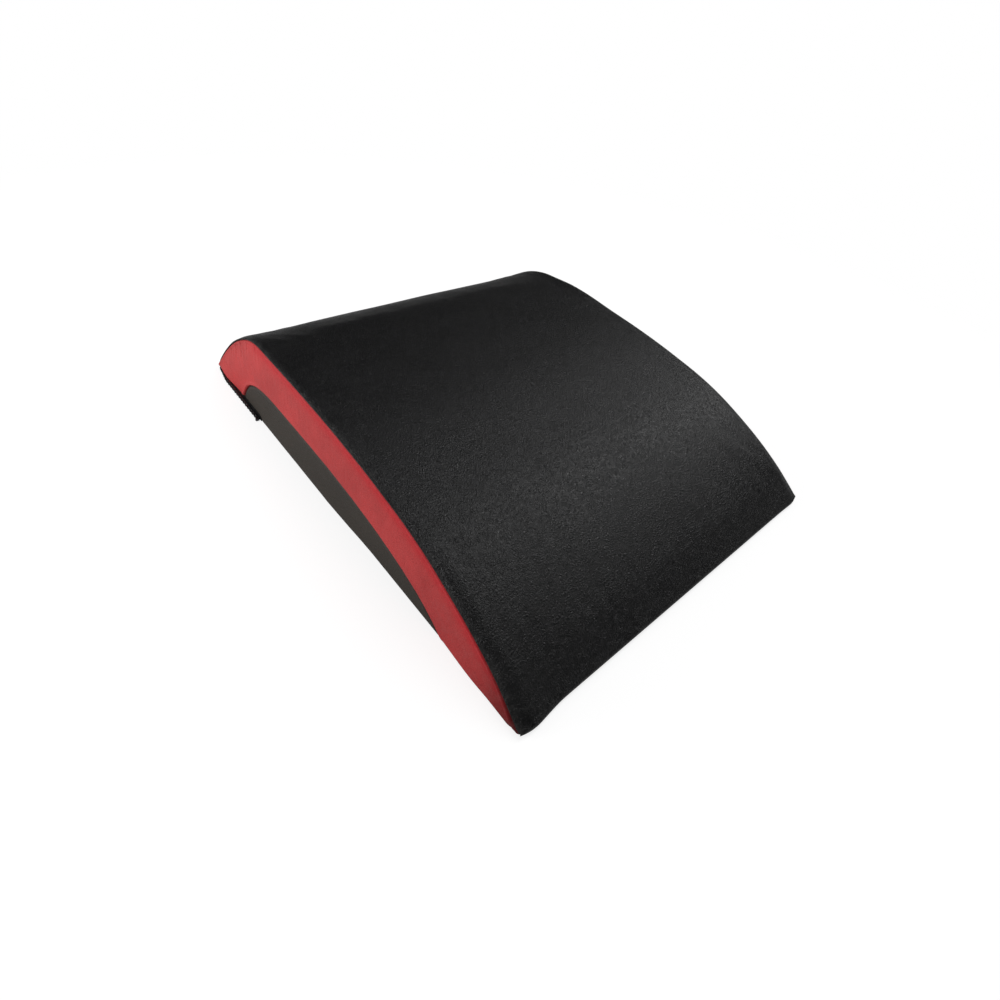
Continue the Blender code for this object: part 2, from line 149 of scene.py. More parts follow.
class ABMAT_cushion(bpy.types.PropertyGroup):
    cell: length("Cell", "Spacing of the cover's grid before it is subdivided", 0.004, min=0.002)
    lip_radius: length("Lip radius", "Radius of the thin front edge", 0.0025)
    front_rise: angle("Front rise", "Slope of the top as it leaves the front edge", 37.7)
    front_foot_pull: length("Front foot pull", "Handle of the profile at the front edge", 0.0804)
    front_crown_pull: length("Front crown pull", "Handle of the profile before the crown", 0.1349)
    rear_crown_pull: length("Rear crown pull", "Handle of the profile behind the crown", 0.0439)
    rear_foot_pull: length("Rear foot pull", "Handle of the profile at the rear foot", 0.0087)
    crown_drop: length("Crown drop", "How far the top falls from its middle to its shoulders", 0.0010)
    shoulder_run: length("Shoulder run", "Width of the strip that rolls down to the side seam", 0.0070)
    front_roll: length("Front roll", "How much wider that strip is near the front", 0.0060)
    shoulder_drop: length("Shoulder drop", "How far that strip falls", 0.0019)
    shoulder_turn: angle("Shoulder turn", "Slope that the strip reaches at the seam", 39.0)
    shoulder_fade: length("Shoulder fade", "Length over which it levels out behind the crown", 0.0480)
    front_fall: length("Front fall", "How much further the shoulder falls near the front", 0.0029)
    front_swell: length("Front swell", "How far the stuffing lifts the top near the front", 0.0022)
    right_slack: length("Right slack", "How far the crown hangs down at its right rear corner", 0.0028)
    right_fill: length("Right fill", "How far the right shoulder is filled out before that corner", 0.0014)
    rear_kick: length("Rear kick", "How far the rear corners are pulled out over the zip", 0.0042)
    kick_height: length("Kick height", "Height over which the rear corners are pulled out", 0.0300)
    kick_run: length("Kick run", "Width of a rear corner that is pulled out at the foot", 0.0062)
    front_pull: length("Front pull", "How far the front left corner is drawn forward", 0.0026)
    right_share: number("Right share", "Share of that pull at the front right corner", 0.2)
    hem: length("Hem", "Height of the sides' hem above the floor", 0.0004)
    hem_out: length("Hem out", "How far the hem stands out from the wall", 0.0008)
    hem_sag: length("Hem sag", "How much further it spreads where the foam rests on the floor", 0.0016)
    hem_over: length("Hem over the zip", "How far the hem stands out where it lies over the zip", 0.0012)
    hem_flare: length("Hem flare", "How much further it swells near the rear corner", 0.0015)
    hem_droop: length("Hem droop", "How far the hem hangs down over the zip", 0.0009)
    side_round: length("Side round", "How far a side leans in towards its seam", 0.0012)
    seam_depth: length("Seam depth", "Depth of the valley at the side seams", 0.0021)
    leather: length("Leather", "Thickness of the cover", 0.0011)
    puff: length("Puff", "Most that the stuffing pushes the top out between its seams", 0.0009)
    side_puff: length("Side puff", "Most that the stuffing pushes a side out", 0.0006)
    unevenness: length("Unevenness", "Height of the slow waves that the foam leaves in the top", 0.00035)


class ABMAT_inset(bpy.types.PropertyGroup):
    flat: length("Flat", "Straight part of the inset's upper edge", 0.0420)
    nose_run: length("Nose run", "Length of the round rear end", 0.0572)
    tail_rise: angle("Tail rise", "Slope of the pointed front end", 30.4)
    nose_foot_pull: length("Nose foot pull", "Handle of the edge at the foot of the nose", 0.0111)
    nose_top_pull: length("Nose top pull", "Handle of the edge at the top of the nose", 0.0445)
    tail_foot_pull: length("Tail foot pull", "Handle of the edge at the foot of the tail", 0.0443)
    tail_top_pull: length("Tail top pull", "Handle of the edge at the top of the tail", 0.0705)
    groove: length("Groove", "Depth of the sewn groove round the inset", 0.0014)


class ABMAT_finish(bpy.types.PropertyGroup):
    black: colour("Black leather", "Colour of the top", (0.0055, 0.0055, 0.0060))
    red: colour("Red leather", "Colour of the side panels", (0.44, 0.042, 0.042))
    # Painted reflection: a deeper red for the strip beside the seam, which reflects less of the white floor
    # than the rest of the side
    painted_reflection_red: colour("Stretched red", "Colour of the side panels beside their seam", (0.46, 0.014, 0.020))
    grey: colour("Grey inset", "Colour of the side insets", (0.032, 0.026, 0.020))
    base: colour("Base cloth", "Colour of the underside", (0.016, 0.016, 0.017))
    tape: colour("Zip tape", "Colour of the zip's tape", (0.010, 0.010, 0.011))
    teeth: colour("Zip teeth", "Colour of the moulded teeth", (0.012, 0.012, 0.013))
    metal: colour("Zip metal", "Colour of the painted slider and tab", (0.07, 0.07, 0.075))
    foam: colour("Foam", "Colour of the core", (0.28, 0.28, 0.30))
    grain: length("Grain", "Size of a pebble in the leather's grain", 0.0017)


class ABMAT_stage(bpy.types.PropertyGroup):
    room: number("Room light", "Brightness of the soft light from all round", 0.27)
    room_gloss: number("Room gloss", "Brightness of the room that gloss shows above the backdrop", 0.02)
    white_gloss: number("White gloss", "How bright gloss shows the white floor and backdrop", 0.25)
    key_power: number("Key power", "Power of the long strip light at the right", 9.3, unit="POWER")
    side_power: number("Side power", "Power of the light at the rear left", 3.9, unit="POWER")
    lens: number("Lens", "Focal length on a 36 mm sensor", 23.88, unit="CAMERA")


def clear_selection():
    if bpy.context.object and bpy.context.object.mode != "OBJECT":
        bpy.ops.object.mode_set(mode="OBJECT")
    bpy.ops.object.select_all(action="DESELECT")


def only(piece):
    clear_selection()
    piece.select_set(True)
    bpy.context.view_layer.objects.active = piece


def named(name):
    """Name the active object and its data."""
    piece = bpy.context.object
    piece.name = piece.data.name = name
    return piece


def apply(piece, kind, name, **settings):
    """Add a modifier to a piece and apply it."""
    only(piece)
    step = piece.modifiers.new(name, kind)
    for key, value in settings.items():
        setattr(step, key, value)
    bpy.ops.object.modifier_apply(modifier=name)


def refine(piece):
    apply(piece, "SUBSURF", "refine", levels=1, render_levels=1)


def round_edges(piece, width, segments, degrees):
    """Round the edges that turn by more than an angle."""
    limit = math.radians(degrees)
    apply(piece, "BEVEL", "round", width=width, segments=segments, limit_method="ANGLE", angle_limit=limit)


def mesh_step(piece, *steps):
    """Run edit-mode operators on all of a piece."""
    only(piece)
    bpy.ops.object.mode_set(mode="EDIT")
    bpy.ops.mesh.select_all(action="SELECT")
    for step in steps:
        step()
    bpy.ops.object.mode_set(mode="OBJECT")


def pick_faces(piece, way):
    """Select the faces that look up, with way 1, or down, with way -1, and stay in edit mode."""
    for face in piece.data.polygons:
        face.select = face.normal.z * way > 0.9
    only(piece)
    bpy.ops.object.mode_set(mode="EDIT")
    bpy.ops.mesh.select_mode(type="FACE")


def raise_faces(height):
    bpy.ops.mesh.extrude_region_move(TRANSFORM_OT_translate={"value": (0, 0, height)})


def add_grid(name, rows):
    """Add a grid and lay its points on the rows given, with a UV map in grid shares."""
    clear_selection()
    across, along = len(rows[0]) - 1, len(rows) - 1
    bpy.ops.mesh.primitive_grid_add(x_subdivisions=across, y_subdivisions=along, size=1)
    piece = named(name)
    for vertex in piece.data.vertices:
        i = round((vertex.co.x + 0.5) * across)
        j = round((vertex.co.y + 0.5) * along)
        vertex.co = rows[j][i]
    piece.data.update()
    return piece


def face_out(piece, outward):
    """Turn the faces of an open sheet so that their mean normal points along outward."""
    mean = Vector((0, 0, 0))
    for face in piece.data.polygons:
        mean += face.normal * face.area
    if mean.dot(outward) < 0:
        piece.data.flip_normals()


def store(piece, name, values):
    layer = piece.data.attributes.new(name, "FLOAT", "POINT")
    layer.data.foreach_set("value", values)


def stored(piece, name):
    values = [0.0] * len(piece.data.vertices)
    piece.data.attributes[name].data.foreach_get("value", values)
    return values


def hand_over(piece, body, slot, finish, *nodes):
    """Give a finished piece its material, attach it to its body, and hide the frame's parts that it stands
    for.
    """
    piece.data.materials.clear()
    piece.data.materials.append(finish)
    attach(piece, body)
    if nodes:
        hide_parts(*nodes)


def smooth(piece, angle=math.radians(50)):
    only(piece)
    bpy.ops.object.shade_smooth_by_angle(angle=angle)


def ease(value, low, high):
    """0 at low, 1 at high, and smooth between them."""
    share = min(1.0, max(0.0, (value - low) / (high - low)))
    return share * share * (3 - 2 * share)


def near_front(y, start, full):
    """0 farther than start behind the front edge, 1 nearer to it than full, and smooth between them."""
    return ease(-y, -FRONT_Y - start, -FRONT_Y - full)


def bump(distance, centre, half):
    """A soft hump of height 1 at centre that is gone at half away from it."""
    share = min(1.0, abs(distance - centre) / half)
    return (1 - share * share) ** 2


def valley(distance, depth, half):
    """A narrow valley that is deepest at distance 0."""
    return depth * math.exp(-((distance / half) ** 2))


# Shape of the cushion


class Line:
    """A line of points, read by the distance along it."""

    def __init__(self, points):
        self.points = points
        self.along = [0.0]
        for a, b in zip(points, points[1:]):
            self.along.append(self.along[-1] + (b - a).length)
        self.length = self.along[-1]

    def read(self, distance):
        """The place at a distance along the line, and the number of the point before it."""
        low = min(max(bisect_right(self.along, distance) - 1, 0), len(self.along) - 2)
        span = self.along[low + 1] - self.along[low]
        share = (distance - self.along[low]) / span if span else 0
        return self.points[low].lerp(self.points[low + 1], share), low

    def spread(self, count):
        """Evenly spaced points along the line."""
        return [self.read(self.length * i / count)[0] for i in range(count + 1)]


def curve(first, first_handle, second_handle, last, steps):
    return [Vector(p) for p in interpolate_bezier(first, first_handle, second_handle, last, steps + 1)]


def dense_profile(cushion):
    """Many points of the middle line of the top, from under the lip to the rear foot."""
    radius = cushion.lip_radius
    centre = Vector((0, FRONT_Y + radius, COVER_LOW.z + radius))
    points = []
    for i in range(40):
        turn = -math.pi / 2 - (math.pi - cushion.front_rise) * i / 39
        points.append(centre + radius * Vector((0, math.cos(turn), math.sin(turn))))
    slope = Vector((0, math.cos(cushion.front_rise), math.sin(cushion.front_rise)))
    crown_front = Vector((0, CROWN_FRONT_Y, HEIGHT))
    crown_rear = Vector((0, CROWN_REAR_Y, HEIGHT))
    foot = Vector((0, REAR_Y, FOOT_Z))
    leaves = points[-1] + cushion.front_foot_pull * slope
    arrives = crown_front - Vector((0, cushion.front_crown_pull, 0))
    points += curve(points[-1], leaves, arrives, crown_front, 400)[1:]
    points += [crown_front.lerp(crown_rear, i / 40) for i in range(1, 40)]
    leaves = crown_rear + Vector((0, cushion.rear_crown_pull, 0))
    arrives = foot + Vector((0, 0, cushion.rear_foot_pull))
    points += curve(crown_rear, leaves, arrives, foot, 240)
    return points


class Profile(Line):
    """The middle line of the top, with how far the cover lies from it."""

    def __init__(self, cushion):
        super().__init__(dense_profile(cushion))
        self.cushion = cushion
        self.lip = cushion.lip_radius * (math.pi - cushion.front_rise)

    def at(self, distance):
        """The point at a distance along the line, and the outward normal there."""
        point, low = self.read(distance)
        if distance >= self.length:
            return point, Vector((0, 1, 0))
        before, after = self.points[max(low - 1, 0)], self.points[min(low + 2, len(self.points) - 1)]
        tangent = (after - before).normalized()
        return point, Vector((0, -tangent.z, tangent.y))

    def crown(self, point):
        return self.cushion.crown_drop * point.z / HEIGHT

    def shoulder(self, point):
        """The shoulder's fall, which is deeper near the front and levels out down the rear wall."""
        start = CROWN_REAR_Y + 0.028
        fall = self.cushion.shoulder_drop * (1 - ease(point.y, start, start + self.cushion.shoulder_fade))
        at_front = ease(-point.y, *SHOULDER_DEEPENS) * (1 - 0.6 * ease(-point.y, *LIP_FLATTENS))
        return fall + self.cushion.front_fall * at_front

    def swell(self, point):
        """How far the stuffing lifts the whole width of the top near the front."""
        return self.cushion.front_swell * ease(-point.y, *TOP_SWELLS) * (1 - ease(-point.y, *LIP_FLATTENS))

    def deepest(self, distance):
        """How far the shoulder can fall here: to the middle of the thin lip, and further behind it."""
        return 0.98 * self.cushion.lip_radius + 0.4 * max(0, distance - self.lip)

    def seam(self, distance, side):
        """The side seam's point level with a distance along the middle line, with x left at 0."""
        point, normal = self.at(distance)
        drop = min(self.crown(point) + self.shoulder(point), self.deepest(distance))
        place = point - (drop - self.swell(point)) * normal
        place.z -= slack(self.cushion, side * SEAM_X, place.y)
        place.y += pulled(self.cushion, side, SEAM_X, place)[1]
        return place

    def places(self, cell):
        """Distances of the grid's rows: close together at the lip and the foot."""
        places = [self.lip * i / 10 for i in range(10)]
        step, here = 0.0009, self.lip
        while here < self.length - 0.012:
            places.append(here)
            here += step
            step = min(cell, step * 1.35)
        rest = self.length - here
        return places + [here + rest * share for share in (0, 0.3, 0.55, 0.74, 0.87, 0.95, 1)]


def pulled(cushion, side, x, place):
    """How far out and back a corner is drawn: the rear ones over the zip, the front left one forward."""
    ear = cushion.front_pull if side < 0 else cushion.front_pull * cushion.right_share
    ear *= ease(x, SEAM_X - 0.032, SEAM_X) * near_front(place.y, 0.030, 0)
    low = 1 - (place.z - FOOT_Z) / cushion.kick_height
    if place.y < CROWN_REAR_Y or low <= 0:
        return 0.6 * ear, -ear
    start = SEAM_X - cushion.kick_run - 0.040 * (1 - min(low, 1))
    return 0.0, cushion.rear_kick * min(low, 1) ** 1.6 * ease(x, start, SEAM_X - 0.0007)


def slack(cushion, x, y):
    """How far the crown hangs down at its right rear corner, or is filled out before it."""
    hangs = ease(x, -0.100, SEAM_X) * ease(y, 0.080, 0.130) * (1 - ease(y, 0.150, 0.188))
    full = ease(x, 0.110, SEAM_X) * bump(y, 0.070, 0.045)
    return cushion.right_slack * hangs - cushion.right_fill * full


def corner_cut(y):
    """How much narrower the cover is as its front corners turn, in plan."""
    inside = CORNER_RADIUS - (y - FRONT_Y)
    if inside <= 0:
        return 0.0
    return CORNER_RADIUS - math.sqrt(max(CORNER_RADIUS**2 - inside**2, 0))


def half_width(cushion):
    """Places across half of the top: (share of the shoulder line, share of the roll, tuck)."""
    steps = round((SEAM_X - cushion.shoulder_run) / cushion.cell)
    half = [(i / steps, 0.0, 0.0) for i in range(steps)]
    half += [(1.0, i / 8, 0.0) for i in range(9)]
    half += [(1.0, 1.0, 0.35), (1.0, 1.0, 0.7), (1.0, 1.0, 1.0)]
    return half


def across_point(cushion, place, run, crown, fall, most):
    """How far out and how far down one place of the half section lies."""
    line, roll, tuck = place
    turn = cushion.shoulder_turn * roll
    out = (SEAM_X - run) * line + run * math.sin(turn) / math.sin(cushion.shoulder_turn)
    down = crown * line * line
    down += fall * (1 - math.cos(turn)) / (1 - math.cos(cushion.shoulder_turn))
    down -= 0.0002 * roll
    if tuck:
        out -= cushion.seam_depth * tuck * tuck
        down += 0.0009 * tuck
    return out, min(down, most)


def cover_rows(profile):
    """The rows of the top cover's grid, from under the lip to the rear foot."""
    cushion = profile.cushion
    half = half_width(cushion)
    rows = []
    for distance in profile.places(cushion.cell):
        point, normal = profile.at(distance)
        most = profile.deepest(distance)
        fall = min(profile.shoulder(point), most)
        narrowed = 1 - corner_cut(point.y) / SEAM_X
        run = cushion.shoulder_run + cushion.front_roll * ease(-point.y, *SHOULDER_WIDENS)
        halves = []
        for side, _ in SIDES:
            line = []
            for place in half:
                out, down = across_point(cushion, place, run, profile.crown(point), fall, most)
                at = point - (down - profile.swell(point)) * normal
                ear, back = pulled(cushion, side, out, at)
                x = side * (out * narrowed + ear)
                line.append(Vector((x, at.y + back, at.z - slack(cushion, x, at.y))))
            halves.append(line)
        rows.append([*reversed(halves[0][1:]), *halves[1]])
    return rows


def normals_of(piece):
    piece.data.update()
    return [vertex.normal.copy() for vertex in piece.data.vertices]


def puff(piece, held, cap, loose):
    """Let pressure swell a sheet between its held points, and keep every point within the cap."""
    start = [vertex.co.copy() for vertex in piece.data.vertices]
    group = piece.vertex_groups.new(name="held")
    for index, weight in enumerate(held):
        group.add([index], weight, "REPLACE")
    only(piece)
    cloth = piece.modifiers.new("puff", "CLOTH")
    settings = cloth.settings
    settings.vertex_group_mass = group.name
    settings.quality = 6
    settings.mass = 0.02
    settings.tension_stiffness = settings.compression_stiffness = 8
    settings.shear_stiffness = 4
    settings.bending_stiffness = 0.3
    settings.use_pressure = True
    settings.uniform_pressure_force = 4
    settings.shrink_min = -loose
    settings.effector_weights.gravity = 0
    cloth.point_cache.frame_start, cloth.point_cache.frame_end = 1, PUFF_FRAMES
    for moment in range(1, PUFF_FRAMES + 1):
        bpy.context.scene.frame_set(moment)
    bpy.ops.object.modifier_apply(modifier=cloth.name)
    bpy.context.scene.frame_set(1)
    for vertex, before in zip(piece.data.vertices, start):
        move = vertex.co - before
        if move.length > cap:
            vertex.co = before + move * (cap / move.length)
    piece.vertex_groups.clear()


# Materials


class Nodes:
    """A node tree that grows by calls, each of which adds a node and gives back its outputs."""

    def __init__(self, tree):
        self.tree = tree

    def feed(self, socket, value):
        """Set a socket, or link it where the value is another node's socket."""
        if isinstance(value, bpy.types.NodeSocket):
            self.tree.links.new(value, socket)
        else:
            socket.default_value = value

    def add(self, kind, inputs=None, **settings):
        made = self.tree.nodes.new("ShaderNode" + kind)
        for key, value in settings.items():
            setattr(made, key, value)
        for key, value in (inputs or {}).items():
            self.feed(made.inputs[key], value)
        return made.outputs

    def maths(self, operation, *values, clamp=False):
        return self.add("Math", dict(enumerate(values)), operation=operation, use_clamp=clamp)[0]

    def times(self, a, b):
        return self.maths("MULTIPLY", a, b)

    def plus(self, value, factor, rest, clamp=False):
        """A value times a factor, added to the rest."""
        return self.maths("MULTIPLY_ADD", value, factor, rest, clamp=clamp)

    def ranged(self, value, low, high, first=0.0, last=1.0, kind="SMOOTHSTEP"):
        inputs = {"Value": value, "From Min": low, "From Max": high, "To Min": first, "To Max": last}
        return self.add("MapRange", inputs, interpolation_type=kind)[0]

    def mixed(self, factor, a, b):
        return self.add("Mix", {0: factor, 6: a, 7: b}, data_type="RGBA")[2]

    def noise(self, spot, scale, detail=2.0, roughness=0.5):
        inputs = {"Vector": spot, "Scale": scale, "Detail": detail, "Roughness": roughness}
        return self.add("TexNoise", inputs)

    def cells(self, spot, scale, randomness=1.0, feature="DISTANCE_TO_EDGE"):
        inputs = {"Vector": spot, "Scale": scale, "Randomness": randomness}
        return self.add("TexVoronoi", inputs, feature=feature)

    def group(self, name, spot, value):
        """Place a shared group in this tree."""
        made = self.tree.nodes.new("ShaderNodeGroup")
        made.node_tree = shared_group(name)
        self.feed(made.inputs[0], spot)
        self.feed(made.inputs[1], value)
        return made.outputs


def pebble_grain(made, spot, size):
    """Rounded pebbles of uneven size with fine creases between them."""
    per_metre = made.maths("DIVIDE", 1.0, size)
    wander = made.noise(spot, 260.0)["Color"]
    shift = made.add("VectorMath", {0: wander, 1: (0.5, 0.5, 0.5)}, operation="SUBTRACT")[0]
    small = made.add("VectorMath", {0: shift, "Scale": 0.0016}, operation="SCALE")[0]
    place = made.add("VectorMath", {0: spot, 1: small}, operation="ADD")[0]
    edges = made.cells(place, per_metre, 0.95)["Distance"]
    fine = made.cells(place, made.times(per_metre, 2.3))["Distance"]
    tone = made.add("SeparateColor", {0: made.cells(place, per_metre, 0.95, "F1")["Color"]})
    big = made.times(made.ranged(edges, 0.0, 0.34), made.plus(tone[0], 0.7, 0.3))
    return {
        "Height": made.plus(made.ranged(fine, 0.0, 0.25), 0.25, made.times(big, 0.75)),
        "Crease": made.ranged(edges, 0.0, 0.10, 1.0, 0.0),
        "Polish": made.ranged(tone[1], 0.70, 1.0),
    }


def mottling(made, spot, size):
    """Slow patches and fine flecks for colour and gloss that are never quite even."""
    slow = made.noise(spot, made.maths("DIVIDE", 1.0, size), 3.0, 0.55)["Fac"]
    flecks = made.noise(spot, 1400.0, 1.0)["Fac"]
    return {"Patches": made.ranged(slow, 0.3, 0.7), "Flecks": made.ranged(flecks, 0.52, 0.75)}


def seam_wear(made, spot, seam):
    """Dust that settles in a seam, and rubbing along the edge beside it."""
    broken = made.noise(spot, 210.0, 4.0, 0.65)["Fac"]
    beside = made.times(made.ranged(seam, 0.1, 0.45), made.ranged(seam, 0.85, 0.55))
    return {
        "Dust": made.times(made.ranged(seam, 0.55, 1.0), made.ranged(broken, 0.4, 0.7)),
        "Rub": made.times(beside, made.ranged(broken, 0.45, 0.62)),
    }


def weave(made, spot, thread):
    """Threads that pass over and under each other."""
    parts = made.add("SeparateXYZ", {0: spot})
    turns = made.maths("DIVIDE", math.pi, thread)
    across, along = [made.maths("SINE", made.times(part, turns)) for part in (parts[0], parts[1])]
    over = made.ranged(made.times(across, along), -0.25, 0.25)
    first = made.times(over, made.maths("ABSOLUTE", across))
    height = made.plus(made.maths("SUBTRACT", 1.0, over), made.maths("ABSOLUTE", along), first)
    fuzz = made.noise(spot, 3000.0)["Fac"]
    return {"Height": made.plus(fuzz, 0.25, height), "Shade": made.times(over, fuzz)}


SHARED_GROUPS = {
    # name: what fills it, its second input and that input's default
    "Pebble grain": (pebble_grain, "Size", 0.0012),
    "Mottling": (mottling, "Size", 0.04),
    "Seam dust and wear": (seam_wear, "Seam", 0.0),
    "Weave": (weave, "Thread", 0.0005),
}


def shared_group(name):
    """A shader node group, built when the first material needs it."""
    if name in bpy.data.node_groups:
        return bpy.data.node_groups[name]
    fill, label, default = SHARED_GROUPS[name]
    tree = bpy.data.node_groups.new(name, "ShaderNodeTree")
    tree.interface.new_socket("Vector", in_out="INPUT", socket_type="NodeSocketVector")
    socket = tree.interface.new_socket(label, in_out="INPUT", socket_type="NodeSocketFloat")
    socket.default_value = default
    given = tree.nodes.new("NodeGroupInput").outputs
    made = fill(Nodes(tree), given["Vector"], given[label])
    for output in made:
        tree.interface.new_socket(output, in_out="OUTPUT", socket_type="NodeSocketFloat")
    out = tree.nodes.new("NodeGroupOutput").inputs
    for output, value in made.items():
        tree.links.new(value, out[output])
    return tree


class Surface(Nodes):
    """A material with a Principled shader, whose constant values are set on its own sockets."""

    def __init__(self, name, specular, metallic=0.0):
        self.material = bpy.data.materials.new(name)
        self.material.use_nodes = True
        super().__init__(self.material.node_tree)
        self.shader = self.tree.nodes["Principled BSDF"].inputs
        self.shader["Specular IOR Level"].default_value = specular
        self.shader["Metallic"].default_value = metallic
        self.place = self.add("TexCoord")

    def carried(self, name):
        """A value that the piece's mesh carries."""
        return self.add("Attribute", attribute_name=name)["Fac"]

    def finish(self, base, rough, height, strength, depth):
        """Feed the colour, the roughness and the bump, and give back the material."""
        lift = self.add("Bump", {"Height": height, "Strength": strength, "Distance": depth})[0]
        for key, value in (("Base Color", base), ("Roughness", rough), ("Normal", lift)):
            self.feed(self.shader[key], value)
        return self.material


def rgba(values, gain=1.0):
    return (*[min(1.0, value * gain) for value in values], 1.0)


RUBBED = rgba((0.30, 0.28, 0.27))
DUST = rgba((0.35, 0.33, 0.30))
LINT = rgba((0.2, 0.19, 0.18))
BARE_METAL = rgba((0.3, 0.29, 0.28))


def leather(name, tint, size, depth, roughness, specular, polish, painted_reflection_red=None):
    """Embossed leather cloth: pebbled, each pebble polished to its own degree, dusty in seams, and darkened
    there as painted shade.
    """
    made = Surface(name, specular)
    spot = made.place["Object"]
    grain = made.group("Pebble grain", spot, size)
    patches = made.group("Mottling", spot, 0.035)
    # How near a seam the point lies, as the mesh carries it: it places the painted shade, the dust, the
    # wear and the roughness
    seam = made.carried("seam")
    wear = made.group("Seam dust and wear", spot, seam)
    base = made.mixed(patches["Patches"], rgba(tint, 0.9), rgba(tint, 1.12))
    # Painted reflection: a deeper red is painted in the strip beside the seam, where the leather turns up
    # and reflects less of the white floor
    if painted_reflection_red:
        base = made.mixed(made.times(made.carried("painted_reflection_strip"), 0.9), base, rgba(painted_reflection_red))
    # Painted shade: the base is darkened in the grain's creases
    base = made.mixed(made.times(grain["Crease"], 0.45), base, rgba(tint, 0.55))
    base = made.mixed(made.times(wear["Rub"], 0.03), base, RUBBED)
    # Painted shade: the base turns almost black in the seam valleys, and on the red sides towards the front
    # tip
    base = made.mixed(made.ranged(seam, 0.84, 0.97, 0.0, 0.85), base, rgba(tint, 0.12))
    base = made.mixed(made.times(wear["Dust"], 0.05), base, DUST)
    rough = made.ranged(patches["Patches"], 0.0, 1.0, roughness - 0.03, roughness + 0.03)
    for value, change in ((grain["Crease"], 0.10), (grain["Polish"], -polish), (patches["Flecks"], -0.06)):
        rough = made.plus(value, change, rough)
    rough = made.plus(made.ranged(seam, 0.78, 0.96), 0.30, rough, clamp=True)
    return made.finish(base, rough, grain["Height"], 0.9, depth)


def black_leather(finish):
    return leather("black pebbled leather", finish.black, finish.grain, 0.00031, 0.37, 0.5, 0.055)


def red_leather(finish):
    """Red leather with a deeper red painted in a strip beside the seam, where the side reflects less of the
    white floor.
    """
    size = finish.grain * 0.75
    return leather("red fine leather", finish.red, size, 0.00012, 0.58, 0.22, 0.04, finish.painted_reflection_red)


def grey_leather(finish):
    return leather("grey matt leather", finish.grey, finish.grain * 0.7, 0.00009, 0.60, 0.3, 0.05)


def woven(name, tint, thread, depth, roughness, coordinates):
    made = Surface(name, 0.3)
    threads = made.group("Weave", made.place[coordinates], thread)
    patches = made.group("Mottling", made.place["Object"], 0.02)
    base = made.mixed(threads["Shade"], rgba(tint, 0.6), rgba(tint, 1.6))
    base = made.mixed(made.times(patches["Flecks"], 0.15), base, LINT)
    rough = made.ranged(patches["Patches"], 0.0, 1.0, roughness - 0.05, roughness + 0.05)
    return made.finish(base, rough, threads["Height"], 0.9, depth)


def base_cloth(finish):
    return woven("woven base cloth", finish.base, 0.0009, 0.00015, 0.8, "Object")


def zip_cloth(finish):
    return woven("woven zip tape", finish.tape, 0.0004, 0.00010, 0.75, "UV")


def hard(name, tint, size, tones, rough, lift, metallic=0.0, worn=0.0):
    """A hard surface that is a little uneven in colour and gloss."""
    made = Surface(name, 0.5, metallic)
    patches = made.group("Mottling", made.place["Object"], size)
    base = made.mixed(patches["Patches"], rgba(tint, tones[0]), rgba(tint, tones[1]))
    if worn:
        base = made.mixed(made.times(patches["Flecks"], worn), base, BARE_METAL)
    gloss = made.ranged(patches["Patches"], 0.0, 1.0, *rough)
    return made.finish(base, gloss, patches["Flecks"], lift, 0.00003)


def moulded_plastic(finish):
    return hard("moulded zip plastic", finish.teeth, 0.004, (0.7, 1.5), (0.30, 0.42), 0.15)


def zip_metal(finish):
    return hard("painted zip metal", finish.metal, 0.003, (0.8, 1.3), (0.26, 0.40), 0.2, 1.0, 0.25)


def foam(finish):
    made = Surface("open foam", 0.2)
    pores = made.cells(made.place["Object"], 900.0, feature="F1")["Distance"]
    base = made.mixed(made.ranged(pores, 0.1, 0.5), rgba(finish.foam, 0.6), rgba(finish.foam, 1.1))
    return made.finish(base, 0.95, pores, 0.6, 0.0003)


MADE = {}


def material(maker):
    """Each material is made once, from the colours in the panel."""
    if maker.__name__ not in MADE:
        MADE[maker.__name__] = maker(bpy.context.scene.abmat_finish)
    return MADE[maker.__name__]


# Pieces


class ABMAT_OT_foam_core(bpy.types.Operator):
    """Swell the foam wedge that fills the cover"""

    bl_idname = "abmat.foam_core"
    bl_label = "Foam core"

    def execute(self, context):
        wedge = bpy.data.objects.new("foam_wedge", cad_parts["foam_core"].data.copy())
        context.scene.collection.objects.link(wedge)
        mesh_step(wedge, lambda: bpy.ops.mesh.remove_doubles(threshold=0.00001))
        middle, half = (CORE_LOW + CORE_HIGH) / 2, (CORE_HIGH - CORE_LOW) / 2
        keep = Matrix.Diagonal([(h - FOAM_SHRINK) / h for h in half])
        for vertex in wedge.data.vertices:
            vertex.co = middle + keep @ (vertex.co - middle)
            hangs = slack(context.scene.abmat_cushion, vertex.co.x, vertex.co.y)
            vertex.co.z -= max(hangs, 0) * vertex.co.z / HEIGHT
        apply(wedge, "REMESH", "even", mode="VOXEL", voxel_size=0.006)
        puff(wedge, [0.0] * len(wedge.data.vertices), 0.0008, 0.0)
        apply(wedge, "SMOOTH", "settle", iterations=2, factor=0.5)
        smooth(wedge, math.radians(180))
        hand_over(wedge, "mat", "foam", material(foam), "foam_core")
        return {"FINISHED"}


